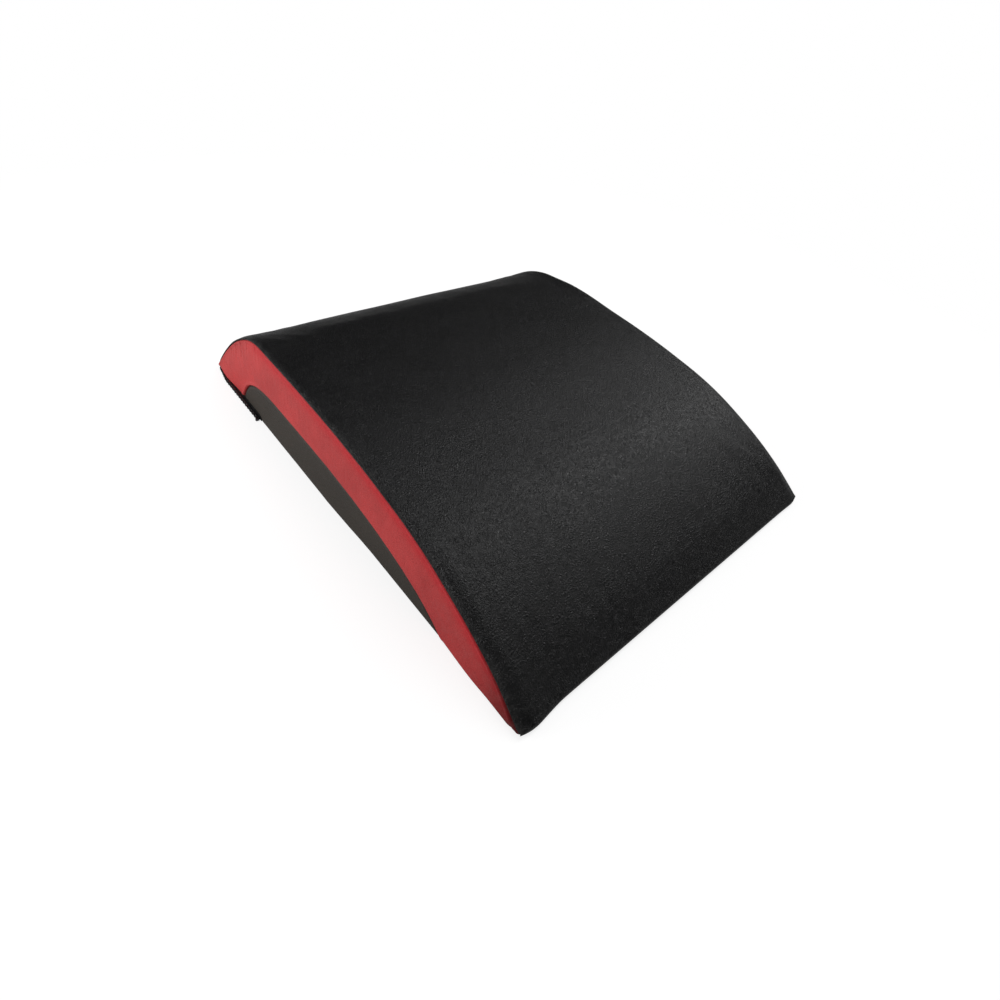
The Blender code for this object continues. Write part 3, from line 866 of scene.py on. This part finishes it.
class ABMAT_OT_top_cover(bpy.types.Operator):
    """Lay the black leather over the wedge, from under the lip to the rear foot"""

    bl_idname = "abmat.top_cover"
    bl_label = "Top cover"

    def execute(self, context):
        cushion = context.scene.abmat_cushion
        cover = add_grid("top_leather", cover_rows(Profile(cushion)))
        face_out(cover, Vector((0, 0, 1)))
        self.stuff(cover, cushion)
        refine(cover)
        # Nearness to the side seams: it places the painted shade in the seam valley, and the dust, wear and
        # roughness beside it
        seam = [ease(abs(vertex.co.x), SEAM_X - 0.0060, SEAM_X) for vertex in cover.data.vertices]
        store(cover, "seam", seam)
        for vertex, normal, near in zip(cover.data.vertices, normals_of(cover), seam):
            wave = noise.noise(vertex.co * 14.0 + Vector((3.1, 1.7, 0.4)))
            wave += 0.45 * noise.noise(vertex.co * 37.0 + Vector((9.2, 4.1, 2.8)))
            calm = 1 - max(near, near_front(vertex.co.y, 0.012, 0.002))
            vertex.co += normal * cushion.unevenness * wave * calm
        self.thicken(cover, cushion, seam)
        hand_over(cover, "mat", "black_leather", material(black_leather), "top_cover")
        return {"FINISHED"}

    def stuff(self, cover, cushion):
        """Let the stuffing push the top out between its seams, from a little below its final level."""
        held = []
        for vertex in cover.data.vertices:
            side = ease(abs(vertex.co.x), SEAM_X - 0.020, SEAM_X - 0.0015)
            rear = ease(vertex.co.y, REAR_Y - 0.018, REAR_Y - 0.002)
            held.append(max(side, rear, near_front(vertex.co.y, 0.025, 0.006)))
        for vertex, normal, weight in zip(cover.data.vertices, normals_of(cover), held):
            vertex.co -= normal * cushion.puff * (1 - weight)
        puff(cover, held, cushion.puff, 0.004)

    def thicken(self, cover, cushion, seam):
        """Give the leather its thickness, which is skived thin where the lip's ends are pinched."""
        group = cover.vertex_groups.new(name="thickness")
        for vertex, near in zip(cover.data.vertices, seam):
            pinched = near * near_front(vertex.co.y, 0.008, 0.003)
            group.add([vertex.index], 1 - 0.85 * pinched, "REPLACE")
        apply(cover, "SOLIDIFY", "leather", thickness=cushion.leather, offset=-1, vertex_group=group.name)
        cover.vertex_groups.clear()
        smooth(cover)


def inset_edge(inset):
    """The inset's upper edge seen square to the side, from its front tip to the foot of its nose."""
    nose_foot = Vector((0, INSET_HIGH.y, 0))
    nose_top = Vector((0, INSET_HIGH.y - inset.nose_run, INSET_HIGH.z))
    tail_top = nose_top - Vector((0, inset.flat, 0))
    tail_foot = Vector((0, INSET_TIP_Y, 0))
    rise = Vector((0, math.cos(inset.tail_rise), math.sin(inset.tail_rise)))
    leaves = nose_foot + Vector((0, 0, inset.nose_foot_pull))
    arrives = nose_top + Vector((0, inset.nose_top_pull, 0))
    edge = curve(nose_foot, leaves, arrives, nose_top, 120)
    leaves = tail_top - Vector((0, inset.tail_top_pull, 0))
    arrives = tail_foot + inset.tail_foot_pull * rise
    edge += curve(tail_top, leaves, arrives, tail_foot, 160)
    edge = [point for point in reversed(edge) if point.z >= FOOT_Z]
    edge[0].z = edge[-1].z = FOOT_Z
    return edge


def seam_line(profile, side):
    """The side seam from the front tip to the rear foot."""
    kept = []
    for i in range(SEAM_STEPS + 1):
        point = profile.seam(profile.lip + (profile.length - profile.lip) * i / SEAM_STEPS, side)
        point = Vector((0, point.y, max(point.z, FOOT_Z)))
        if not kept or (point - kept[-1]).length > 1e-5:
            kept.append(point)
    return kept


def table(points):
    """A table of points close together along a line, to measure distances from it."""
    line = Line(points)
    count = round(line.length / 0.00012)
    made = KDTree(count + 1)
    for index, point in enumerate(line.spread(count)):
        made.insert(point, index)
    made.balance()
    return made


class Side:
    """One side seen square on: its seam, its inset's edge, and the tables that measure from them."""

    def __init__(self, side, scene):
        self.side = side
        self.cushion = scene.abmat_cushion
        self.inset = scene.abmat_inset
        self.seam = seam_line(Profile(self.cushion), side)
        self.edge = inset_edge(self.inset)
        self.places = [point.y for point in self.seam]
        self.seam_table = table(self.seam)
        self.edge_table = table(self.edge)

    def tall(self, y):
        """Height of the seam over the foot at this place along the side."""
        after = min(max(bisect_right(self.places, y), 1), len(self.places) - 1)
        a, b = self.seam[after - 1], self.seam[after]
        share = min(1, max(0, (y - a.y) / (b.y - a.y))) if b.y > a.y else 0
        return a.z + (b.z - a.z) * share - FOOT_Z

    def out(self, at, near_seam):
        """How far the flat layout's point stands out on the side's swell, before its seams are drawn in."""
        tall = self.tall(at.y)
        wall = SEAM_X + pulled(self.cushion, self.side, SEAM_X, at)[0] - corner_cut(at.y)
        if tall <= 0:
            return wall
        share = min(1.0, max(0.0, (at.z - FOOT_Z) / tall))
        size = min(1, tall / (HEIGHT - FOOT_Z - 0.0035))
        lean = self.cushion.side_round * max(0, 1 - near_seam / 0.012) ** 2 * size
        return wall + SIDE_BULGE * size**2 * math.sin(math.pi * share) - lean

    def hem(self, at):
        """How far out and down the hem is drawn: over the zip at the left rear, to the floor elsewhere."""
        cushion = self.cushion
        low = max(0, 1 - (at.z - FOOT_Z) / 0.012)
        ends = ease(at.y, FRONT_Y + 0.003, FRONT_Y + 0.010) * (1 - ease(at.y, 0.168, 0.186))
        over_zip = ease(at.y, ZIP_START_Y - 0.005, ZIP_START_Y + 0.002) if self.side < 0 else 0.0
        sag = ease(at.y, -0.060, 0.010) + 0.8 * bump(at.y, FRONT_Y + 0.038, 0.035)
        down = (FOOT_Z - cushion.hem) * ends * (1 - over_zip)
        down += cushion.hem_droop * over_zip * (1 - ease(at.y, 0.172, 0.186))
        out = (cushion.hem_out + cushion.hem_sag * sag) * (1 - over_zip) * ends
        out += over_zip * (cushion.hem_over + cushion.hem_flare * bump(at.y, 0.172, 0.024))
        return out * low * low - valley(at.z - FOOT_Z, HEM_FOLD, 0.0008), down * low

    def set_out(self, piece, shape):
        """Move each point of the flat layout out to the wall, as the shape says from its distances."""
        layers = {}
        for vertex in piece.data.vertices:
            at = vertex.co.copy()
            near_seam, near_edge = self.seam_table.find(at)[2], self.edge_table.find(at)[2]
            hem_out, hem_down = self.hem(at)
            more, values = shape(at, near_seam, near_edge)
            out = self.out(at, near_seam) + hem_out + more
            vertex.co = Vector((self.side * out, at.y, at.z - hem_down))
            for name, value in values.items():
                layers.setdefault(name, []).append(value)
        for name, values in layers.items():
            store(piece, name, values)
        mesh_step(piece, lambda: bpy.ops.mesh.remove_doubles(threshold=0.00002))
        face_out(piece, Vector((self.side, 0, 0)))

    def finish(self, piece, height, pitch, seed, pressed):
        """Refine a set out piece, ripple it, press in its gathers and give it its thickness."""
        refine(piece)
        piece.data.update()
        for vertex in piece.data.vertices:
            at = vertex.co
            ripple = height * noise.noise(Vector((at.y * pitch, at.z * pitch, self.side * seed)))
            at.x += self.side * (ripple - pressed(at.y, at.z))
        apply(piece, "SOLIDIFY", "leather", thickness=self.cushion.leather, offset=-1)
        smooth(piece)


def band(low, high):
    """Points from one edge of a band of leather to the other, close together at its two seams."""
    width = (high - low).length
    scale = min(1, width / (2.6 * EDGE_STEPS[-1])) if width else 0
    near = [step * scale for step in EDGE_STEPS]
    between = width - 2 * near[-1]
    middle = [near[-1] + between * i / MIDDLE_STEPS for i in range(1, MIDDLE_STEPS)]
    places = [*near, *middle, *[width - step for step in reversed(near)]]
    return [low.lerp(high, place / width if width else 0) for place in places]


def pucker_depth(y, z):
    """How deep the gathers under the seam press the panel in at this place."""
    depth = 0.0
    for top_y, top_z, low_y, low_z, half, most in PUCKERS:
        run = Vector((low_y - top_y, low_z - top_z))
        here = Vector((y - top_y, z - top_z))
        share = here.dot(run) / run.length_squared
        if not -0.25 < share < 1.1:
            continue
        aside = abs(here.x * run.y - here.y * run.x) / run.length
        wide = half * (0.75 + 0.8 * max(share, 0))
        fade = 1 - ease(share, 0.1, 1.05)
        depth += 1.7 * most * fade * (bump(aside, 0, wide) - 0.45 * bump(aside, wide * 1.6, wide))
    return depth


class ABMAT_OT_side_panels(bpy.types.Operator):
    """Sew the red leather sides, with their rolled seam edge and the gathers at the rear corner"""

    bl_idname = "abmat.side_panels"
    bl_label = "Side panels"

    def execute(self, context):
        for side, name in SIDES:
            lines = Side(side, context.scene)
            tip, foot = lines.seam[0].copy(), lines.seam[-1].copy()
            tip.z = foot.z = FOOT_Z
            outer = Line([tip, *lines.seam]).spread(PANEL_COLUMNS)
            inner = Line([tip, *lines.edge, foot]).spread(PANEL_COLUMNS)
            panel = add_grid(f"{name}_red_leather", [band(low, high) for low, high in zip(inner, outer)])
            lines.set_out(panel, lambda *near: self.shape(lines, *near))
            held = []
            for seam, vertex in zip(stored(panel, "seam"), panel.data.vertices):
                held.append(max(ease(seam, 0.0, 0.35), ease(-vertex.co.z, -0.012, -0.004)))
            puff(panel, held, lines.cushion.side_puff, 0.003)
            lines.finish(panel, 0.00012, 60, 5.0, pucker_depth)
            hand_over(panel, "mat", "red_leather", material(red_leather), f"{name}_side_panel")
        return {"FINISHED"}

    def shape(self, lines, at, near_seam, near_edge):
        """The rolls beside the two seams, how near a seam it is, with the seam value raised towards the
        front tip for painted shade, and the strip beside the seam where a deeper red is painted as that
        strip reflects less of the white floor.
        """
        out = 0.0006 * bump(near_seam, 0.0018, 0.0017) - valley(near_seam, lines.cushion.seam_depth, 0.0007)
        out += 0.0004 * bump(near_edge, 0.0020, 0.0018) - valley(near_edge, lines.inset.groove, 0.0007)
        # Painted shade: towards the front tip the seam value rises, so that the red is darkened there
        tip = 0.84 * ease(-at.y, 0.095, 0.130) + 0.10 * ease(-at.y, 0.130, 0.188)
        tip += 0.03 * ease(-at.y, 0.179, 0.185)
        share = near_seam / max(lines.tall(at.y), 0.001)
        # Painted reflection: the strip beside the seam, away from the rear and the foot, where a deeper red
        # is painted
        painted_reflection_strip = ease(-near_seam, -0.0105, -0.0030) * ease(-at.y, -0.150, -0.105)
        painted_reflection_strip *= ease(-share, -0.6, -0.3)
        # Painted shade: the seam value darkens the red near the top seam, beside the inset's groove and at
        # the front tip
        return out, {"seam": max(1 - near_seam / 0.006, 1 - near_edge / 0.0055, tip, 0), "painted_reflection_strip": painted_reflection_strip}


class ABMAT_OT_side_insets(bpy.types.Operator):
    """Set the dark grey insets into the sides, folded in at their sewn edge"""

    bl_idname = "abmat.side_insets"
    bl_label = "Side insets"

    def execute(self, context):
        for side, name in SIDES:
            lines = Side(side, context.scene)
            upper = Line(lines.edge).spread(INSET_COLUMNS)
            lower = Line([lines.edge[0], lines.edge[-1]]).spread(INSET_COLUMNS)
            inset = add_grid(f"{name}_grey_leather", [band(low, high) for low, high in zip(lower, upper)])
            lines.set_out(inset, lambda *near: self.shape(lines, *near))
            lines.finish(inset, 0.00010, 70, 9.0, lambda y, z: 0.0)
            hand_over(inset, "mat", "grey_inset", material(grey_leather), f"{name}_side_inset")
        return {"FINISHED"}

    def shape(self, lines, at, near_seam, near_edge):
        """The fold into the groove, and how near it is."""
        out = -0.0003 - valley(near_edge, lines.inset.groove * 1.1, 0.0008)
        # Nearness to the groove, which darkens the grey there as painted shade
        return out, {"seam": max(1 - near_edge / 0.0035, 0)}


class ABMAT_OT_base_panel(bpy.types.Operator):
    """Cut the woven base with its rounded corners and turned hem"""

    bl_idname = "abmat.base_panel"
    bl_label = "Base panel"

    def execute(self, context):
        clear_selection()
        middle, size = (BASE_LOW + BASE_HIGH) / 2, BASE_HIGH - BASE_LOW
        bpy.ops.mesh.primitive_plane_add(size=1)
        base = named("base_cloth")
        for vertex in base.data.vertices:
            at = vertex.co
            vertex.co = Vector((middle.x + at.x * size.x, middle.y + at.y * size.y, BASE_LIFT))
        mesh_step(
            base,
            lambda: bpy.ops.mesh.bevel(offset=0.003, segments=6, affect="VERTICES"),
            lambda: raise_faces(size.z - BASE_LIFT),
            lambda: bpy.ops.mesh.select_all(action="SELECT"),
            lambda: bpy.ops.mesh.normals_make_consistent(inside=False),
        )
        pick_faces(base, -1)
        for thickness, depth in ((0.0006, 0.0004), (0.0075, 0.0), (0.0008, -0.0003), (0.0500, 0.0)):
            bpy.ops.mesh.inset(thickness=thickness, depth=depth)
        bpy.ops.object.mode_set(mode="OBJECT")
        round_edges(base, 0.00025, 2, 30)
        smooth(base, math.radians(35))
        hand_over(base, "mat", "base_cloth", material(base_cloth), "base_panel")
        return {"FINISHED"}


# Zip: a straight strip is modelled along X, with Y out from the wall, and is then wrapped round the foot


def zip_runs():
    """Lengths of the chain's left run, its corner and its rear run."""
    corner_y = REAR_Y + CHAIN_OUT - ZIP_CORNER
    return corner_y - ZIP_START_Y, ZIP_CORNER * math.pi / 2, ZIP_END_X - ZIP_CORNER_X


def zip_point(along, out, height):
    """Where a point of the straight zip lies: low under the hem at the left, up with the slider behind."""
    side_run, corner_run = zip_runs()[:2]
    tucked = 1 - ease(along, side_run + corner_run * 0.6, side_run + corner_run + 0.0045)
    turning = tucked * ease(along, side_run - 0.020, side_run + corner_run * 0.3)
    share = ZIP_TUCK_SHARE + (ZIP_CORNER_SHARE - ZIP_TUCK_SHARE) * turning
    height += tucked * (ZIP_TUCK_Z + (height - UNDER_CHAIN_LOW.z) * share - height)
    out *= 1 + tucked * (ZIP_TUCK_OUT_SHARE - 1) * (1 - turning) + turning * (ZIP_CORNER_SHARE - 1)
    reach = ZIP_CORNER + out - CHAIN_OUT
    if along <= side_run:
        return Vector((ZIP_CORNER_X - reach, ZIP_START_Y + along, height))
    if along >= side_run + corner_run:
        return Vector((ZIP_CORNER_X + along - side_run - corner_run, REAR_Y + out, height))
    turn = math.pi - (along - side_run) / ZIP_CORNER
    centre = Vector((ZIP_CORNER_X, ZIP_START_Y + side_run, height))
    return centre + reach * Vector((math.cos(turn), math.sin(turn), 0))


def wrap(piece):
    """Wrap a straight strip round the rear corner of the mat."""
    for vertex in piece.data.vertices:
        vertex.co = zip_point(*vertex.co)
    mesh_step(piece, lambda: bpy.ops.mesh.normals_make_consistent(inside=False))


class ABMAT_OT_zip_tapes(bpy.types.Operator):
    """Run the two woven tapes of the zip round the foot"""

    bl_idname = "abmat.zip_tapes"
    bl_label = "Zip tapes"

    def execute(self, context):
        for word in ("upper", "lower"):
            low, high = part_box(f"zip_tape_{word}")
            tape = add_grid(f"zip_cloth_{word}", self.rows(low.z, high.z))
            layer = tape.data.uv_layers.active
            for loop in tape.data.loops:
                layer.data[loop.index].uv = tape.data.vertices[loop.vertex_index].co.xy
            apply(tape, "SOLIDIFY", "cloth", thickness=0.00042, offset=0)
            wrap(tape)
            smooth(tape)
            hand_over(tape, "mat", "zip_tape", material(zip_cloth), f"zip_tape_{word}")
        return {"FINISHED"}

    def rows(self, low, high):
        """The tape's points, a little rucked along its free edge."""
        total, steps, rows = sum(zip_runs()), 260, []
        for i in range(steps + 1):
            along = -TAPE_TAIL + (total + 2 * TAPE_TAIL) * i / steps
            ruck = 0.00008 * noise.noise(Vector((along * 90, low * 1000, 0)))
            ruck += 0.00006 * math.sin(along * 900)
            height = (low + high) / 2
            rows.append([Vector((along, out, height + ruck * out / TAPE_OUTS[-1])) for out in TAPE_OUTS])
        return rows


class ABMAT_OT_zip_teeth(bpy.types.Operator):
    """Mould the meshing teeth on their cords"""

    bl_idname = "abmat.zip_teeth"
    bl_label = "Zip teeth"

    def execute(self, context):
        pitch = sum(zip_runs()) / TEETH
        for word, edge, down, first, count in (
            ("upper", CHAIN_HIGH.z, -1, pitch / 4, TEETH),
            ("lower", UNDER_CHAIN_LOW.z, 1, pitch * 3 / 4, TEETH - 1),
        ):
            cord = self.cord(edge + down * 0.0004)
            tooth = self.tooth(pitch, first, edge + down * 0.00045, down)
            apply(
                tooth, "ARRAY", "row", count=count, use_relative_offset=False,
                use_constant_offset=True, constant_offset_displace=(pitch, 0, 0),
            )
            only(cord)
            tooth.select_set(True)
            bpy.ops.object.join()
            row = named(f"zip_chain_{word}")
            wrap(row)
            smooth(row, math.radians(45))
            hand_over(row, "mat", "zip_teeth", material(moulded_plastic), f"zip_teeth_{word}")
        return {"FINISHED"}

    def cord(self, level):
        """The round cord that the teeth are moulded on."""
        clear_selection()
        total = sum(zip_runs())
        bpy.ops.mesh.primitive_cylinder_add(
            vertices=10, radius=0.00040, depth=total, end_fill_type="NGON",
            location=(total / 2, 0.0030, level), rotation=(0, math.pi / 2, 0),
        )
        bpy.ops.object.transform_apply(location=True, rotation=True, scale=True)
        cord = bpy.context.object
        only(cord)
        bpy.ops.object.mode_set(mode="EDIT")
        for _ in range(7):
            bpy.ops.mesh.select_all(action="DESELECT")
            bpy.ops.object.mode_set(mode="OBJECT")
            for edge in cord.data.edges:
                a, b = (cord.data.vertices[i].co for i in edge.vertices)
                edge.select = abs(a.x - b.x) > 1e-5
            bpy.ops.object.mode_set(mode="EDIT")
            bpy.ops.mesh.select_mode(type="EDGE")
            bpy.ops.mesh.subdivide(number_cuts=1)
        bpy.ops.object.mode_set(mode="OBJECT")
        return cord

    def tooth(self, pitch, first, level, down):
        """A clamp round the cord, a neck and a rounded head that reaches between two others."""
        clear_selection()
        bpy.ops.mesh.primitive_cube_add(size=1)
        tooth = bpy.context.object
        size, middle = (pitch * 0.40, 0.0018, 0.0009), (first, 0.0032, level)
        for vertex in tooth.data.vertices:
            vertex.co = Vector([m + share * s for m, share, s in zip(middle, vertex.co, size)])
        tooth.data.update()
        pick_faces(tooth, down)
        bpy.ops.mesh.inset(thickness=0.00022)
        raise_faces(down * 0.00035)
        raise_faces(down * 0.00025)
        bpy.ops.transform.resize(value=(1.32, 1.12, 1))
        raise_faces(down * 0.00055)
        bpy.ops.transform.resize(value=(0.9, 0.9, 1))
        bpy.ops.mesh.select_all(action="SELECT")
        bpy.ops.mesh.normals_make_consistent(inside=False)
        bpy.ops.object.mode_set(mode="OBJECT")
        round_edges(tooth, 0.00012, 1, 40)
        return tooth


class ABMAT_OT_zip_metal(bpy.types.Operator):
    """Finish the slider, its pull tab and the stops"""

    bl_idname = "abmat.zip_metal"
    bl_label = "Zip slider, tab and stops"

    def execute(self, context):
        for name in ("zip_slider", "zip_pull_tab", "zip_top_stop_lower", "zip_top_stop_upper"):
            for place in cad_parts[name].material_slots:
                place.material = material(zip_metal)
        self.bottom_stop()
        return {"FINISHED"}

    def bottom_stop(self):
        """The stop where the zip starts lies low with it, clamped round both cords."""
        clear_selection()
        bpy.ops.mesh.primitive_cube_add(size=1)
        stop = named("zip_start_stop")
        low = Vector((STOP_LOW.y - ZIP_START_Y, -STOP_HIGH.x - SEAM_X, STOP_LOW.z))
        high = Vector((STOP_HIGH.y - ZIP_START_Y, -STOP_LOW.x - SEAM_X, STOP_HIGH.z))
        for vertex in stop.data.vertices:
            vertex.co = Vector([a + (b - a) * (share + 0.5) for a, b, share in zip(low, high, vertex.co)])
        apply(stop, "BEVEL", "round", width=0.0005, segments=3, limit_method="NONE")
        wrap(stop)
        smooth(stop)
        hand_over(stop, "mat", "zip_metal", material(zip_metal), "zip_bottom_stop")


# Stage

FLOOR_SIZE = 60.0
FLOOR_Z = -0.0002
KEY_LIGHT = ((0.72, -0.05, 1.15), (0.0, 0.0, 0.03), (0.44, 1.90))
SIDE_LIGHT = ((-0.70, 0.34, 0.20), (-0.15, 0.06, 0.03), (0.7, 0.4))
CAMERA_PLACE = (-0.32454, -0.28981, 0.34521)
CAMERA_RIGHT = (0.72883, -0.66448, 0.16512)
CAMERA_FORWARD = (0.64289, 0.58116, -0.49895)
CAMERA_SHIFT = (-0.0186, -0.1654)
WHITE = (1, 1, 1, 1)


class ABMAT_OT_stage(bpy.types.Operator):
    """Set the floor, the soft lights, the white surround and the camera"""

    bl_idname = "abmat.stage"
    bl_label = "Stage"

    def execute(self, context):
        stage = context.scene.abmat_stage
        self.floor(stage)
        self.world(stage)
        self.lamp("key_light", *KEY_LIGHT, stage.key_power)
        self.lamp("side_light", *SIDE_LIGHT, stage.side_power)
        self.camera(stage)
        context.scene.view_settings.view_transform = "Standard"
        return {"FINISHED"}

    def floor(self, stage):
        """A pale floor that keeps its shadow near the mat, and is plain white farther out."""
        clear_selection()
        bpy.ops.mesh.primitive_plane_add(size=1)
        floor = named("studio_floor")
        for vertex in floor.data.vertices:
            vertex.co *= FLOOR_SIZE
            vertex.co.z = FLOOR_Z
        pale = bpy.data.materials.new("pale floor")
        pale.use_nodes = True
        made = Nodes(pale.node_tree)
        pale.node_tree.nodes.remove(pale.node_tree.nodes["Principled BSDF"])
        rays = made.add("LightPath")
        seen = made.maths("MAXIMUM", rays["Is Camera Ray"], rays["Is Glossy Ray"])
        seen = made.maths("MAXIMUM", seen, rays["Is Transmission Ray"])
        away = made.add("VectorMath", {0: made.add("TexCoord")["Object"]}, operation="LENGTH")["Value"]
        bright = made.ranged(away, 0.30, 0.75, 1.30, 1.0)
        bright = made.times(bright, made.ranged(rays["Is Glossy Ray"], 0.0, 1.0, 1.0, stage.white_gloss))
        matt = made.add("BsdfDiffuse", {"Color": (0.82, 0.82, 0.82, 1)})[0]
        white = made.add("Emission", {"Color": WHITE, "Strength": bright})[0]
        share = made.times(seen, made.ranged(away, 0.30, 0.75, 0.62, 1.0))
        mix = made.add("MixShader", {0: share, 1: matt, 2: white})[0]
        made.feed(made.tree.nodes["Material Output"].inputs[0], mix)
        floor.data.materials.append(pale)

    def world(self, stage):
        """Soft light from all round, with a white backdrop that stands low behind everything."""
        world = bpy.data.worlds.new("studio")
        bpy.context.scene.world = world
        world.use_nodes = True
        made = Nodes(world.node_tree)
        for old in list(world.node_tree.nodes):
            world.node_tree.nodes.remove(old)
        rays = made.add("LightPath")
        glossy = rays["Is Glossy Ray"]
        up = made.add("SeparateXYZ", {0: made.add("TexCoord")["Generated"]})[2]
        seen = made.maths("MAXIMUM", rays["Is Camera Ray"], rays["Is Transmission Ray"])
        seen = made.maths("MAXIMUM", seen, made.times(glossy, made.ranged(up, 0.0, 0.05, 1.0, 0.0)))
        lights = []
        for plain, shiny in ((stage.room, stage.room_gloss), (1.0, stage.white_gloss)):
            level = made.ranged(glossy, 0.0, 1.0, plain, shiny, "LINEAR")
            lights.append(made.add("Background", {"Color": WHITE, "Strength": level})[0])
        mix = made.add("MixShader", {0: seen, 1: lights[0], 2: lights[1]})[0]
        made.feed(made.tree.nodes.new("ShaderNodeOutputWorld").inputs[0], mix)

    def lamp(self, name, place, target, size, power):
        clear_selection()
        turn = (Vector(target) - Vector(place)).to_track_quat("-Z", "Y").to_euler()
        bpy.ops.object.light_add(type="AREA", location=place, rotation=turn)
        lamp = named(name)
        lamp.data.shape = "RECTANGLE"
        lamp.data.size, lamp.data.size_y = size
        lamp.data.energy = power

    def camera(self, stage):
        clear_selection()
        bpy.ops.object.camera_add(location=CAMERA_PLACE)
        camera = named("photo_camera")
        forward = Vector(CAMERA_FORWARD).normalized()
        right = Vector(CAMERA_RIGHT)
        right = (right - forward * right.dot(forward)).normalized()
        up = right.cross(forward)
        camera.rotation_mode = "QUATERNION"
        turned = [[right[i], up[i], -forward[i]] for i in range(3)]
        camera.rotation_quaternion = Matrix(turned).to_quaternion()
        camera.data.sensor_width = 36
        camera.data.lens = stage.lens
        camera.data.shift_x, camera.data.shift_y = CAMERA_SHIFT
        camera.data.clip_start = 0.01
        bpy.context.scene.camera = camera


STEPS = (
    ABMAT_OT_stage,
    ABMAT_OT_foam_core,
    ABMAT_OT_top_cover,
    ABMAT_OT_side_panels,
    ABMAT_OT_side_insets,
    ABMAT_OT_base_panel,
    ABMAT_OT_zip_tapes,
    ABMAT_OT_zip_teeth,
    ABMAT_OT_zip_metal,
)
GROUPS_OF_SETTINGS = {
    "abmat_cushion": ABMAT_cushion,
    "abmat_inset": ABMAT_inset,
    "abmat_finish": ABMAT_finish,
    "abmat_stage": ABMAT_stage,
}


class ABMAT_PT_panel(bpy.types.Panel):
    """Lists the settings and the steps of the mat"""

    bl_idname = "ABMAT_PT_panel"
    bl_label = "Ab Mat"
    bl_space_type = "VIEW_3D"
    bl_region_type = "UI"
    bl_category = "Ab Mat"

    def draw(self, context):
        for step in STEPS:
            self.layout.operator(step.bl_idname)
        for name, kind in GROUPS_OF_SETTINGS.items():
            box = self.layout.box()
            for key in kind.__annotations__:
                box.prop(getattr(context.scene, name), key)


def register():
    for name, kind in GROUPS_OF_SETTINGS.items():
        bpy.utils.register_class(kind)
        setattr(bpy.types.Scene, name, bpy.props.PointerProperty(type=kind))
    for step in (*STEPS, ABMAT_PT_panel):
        bpy.utils.register_class(step)


def unregister():
    for step in (ABMAT_PT_panel, *reversed(STEPS)):
        bpy.utils.unregister_class(step)
    for name, kind in reversed(GROUPS_OF_SETTINGS.items()):
        delattr(bpy.types.Scene, name)
        bpy.utils.unregister_class(kind)


def main():
    register()
    for step in STEPS:
        group_name, operator_name = step.bl_idname.split(".")
        getattr(getattr(bpy.ops, group_name), operator_name)()


if __name__ == "__main__":
    main()
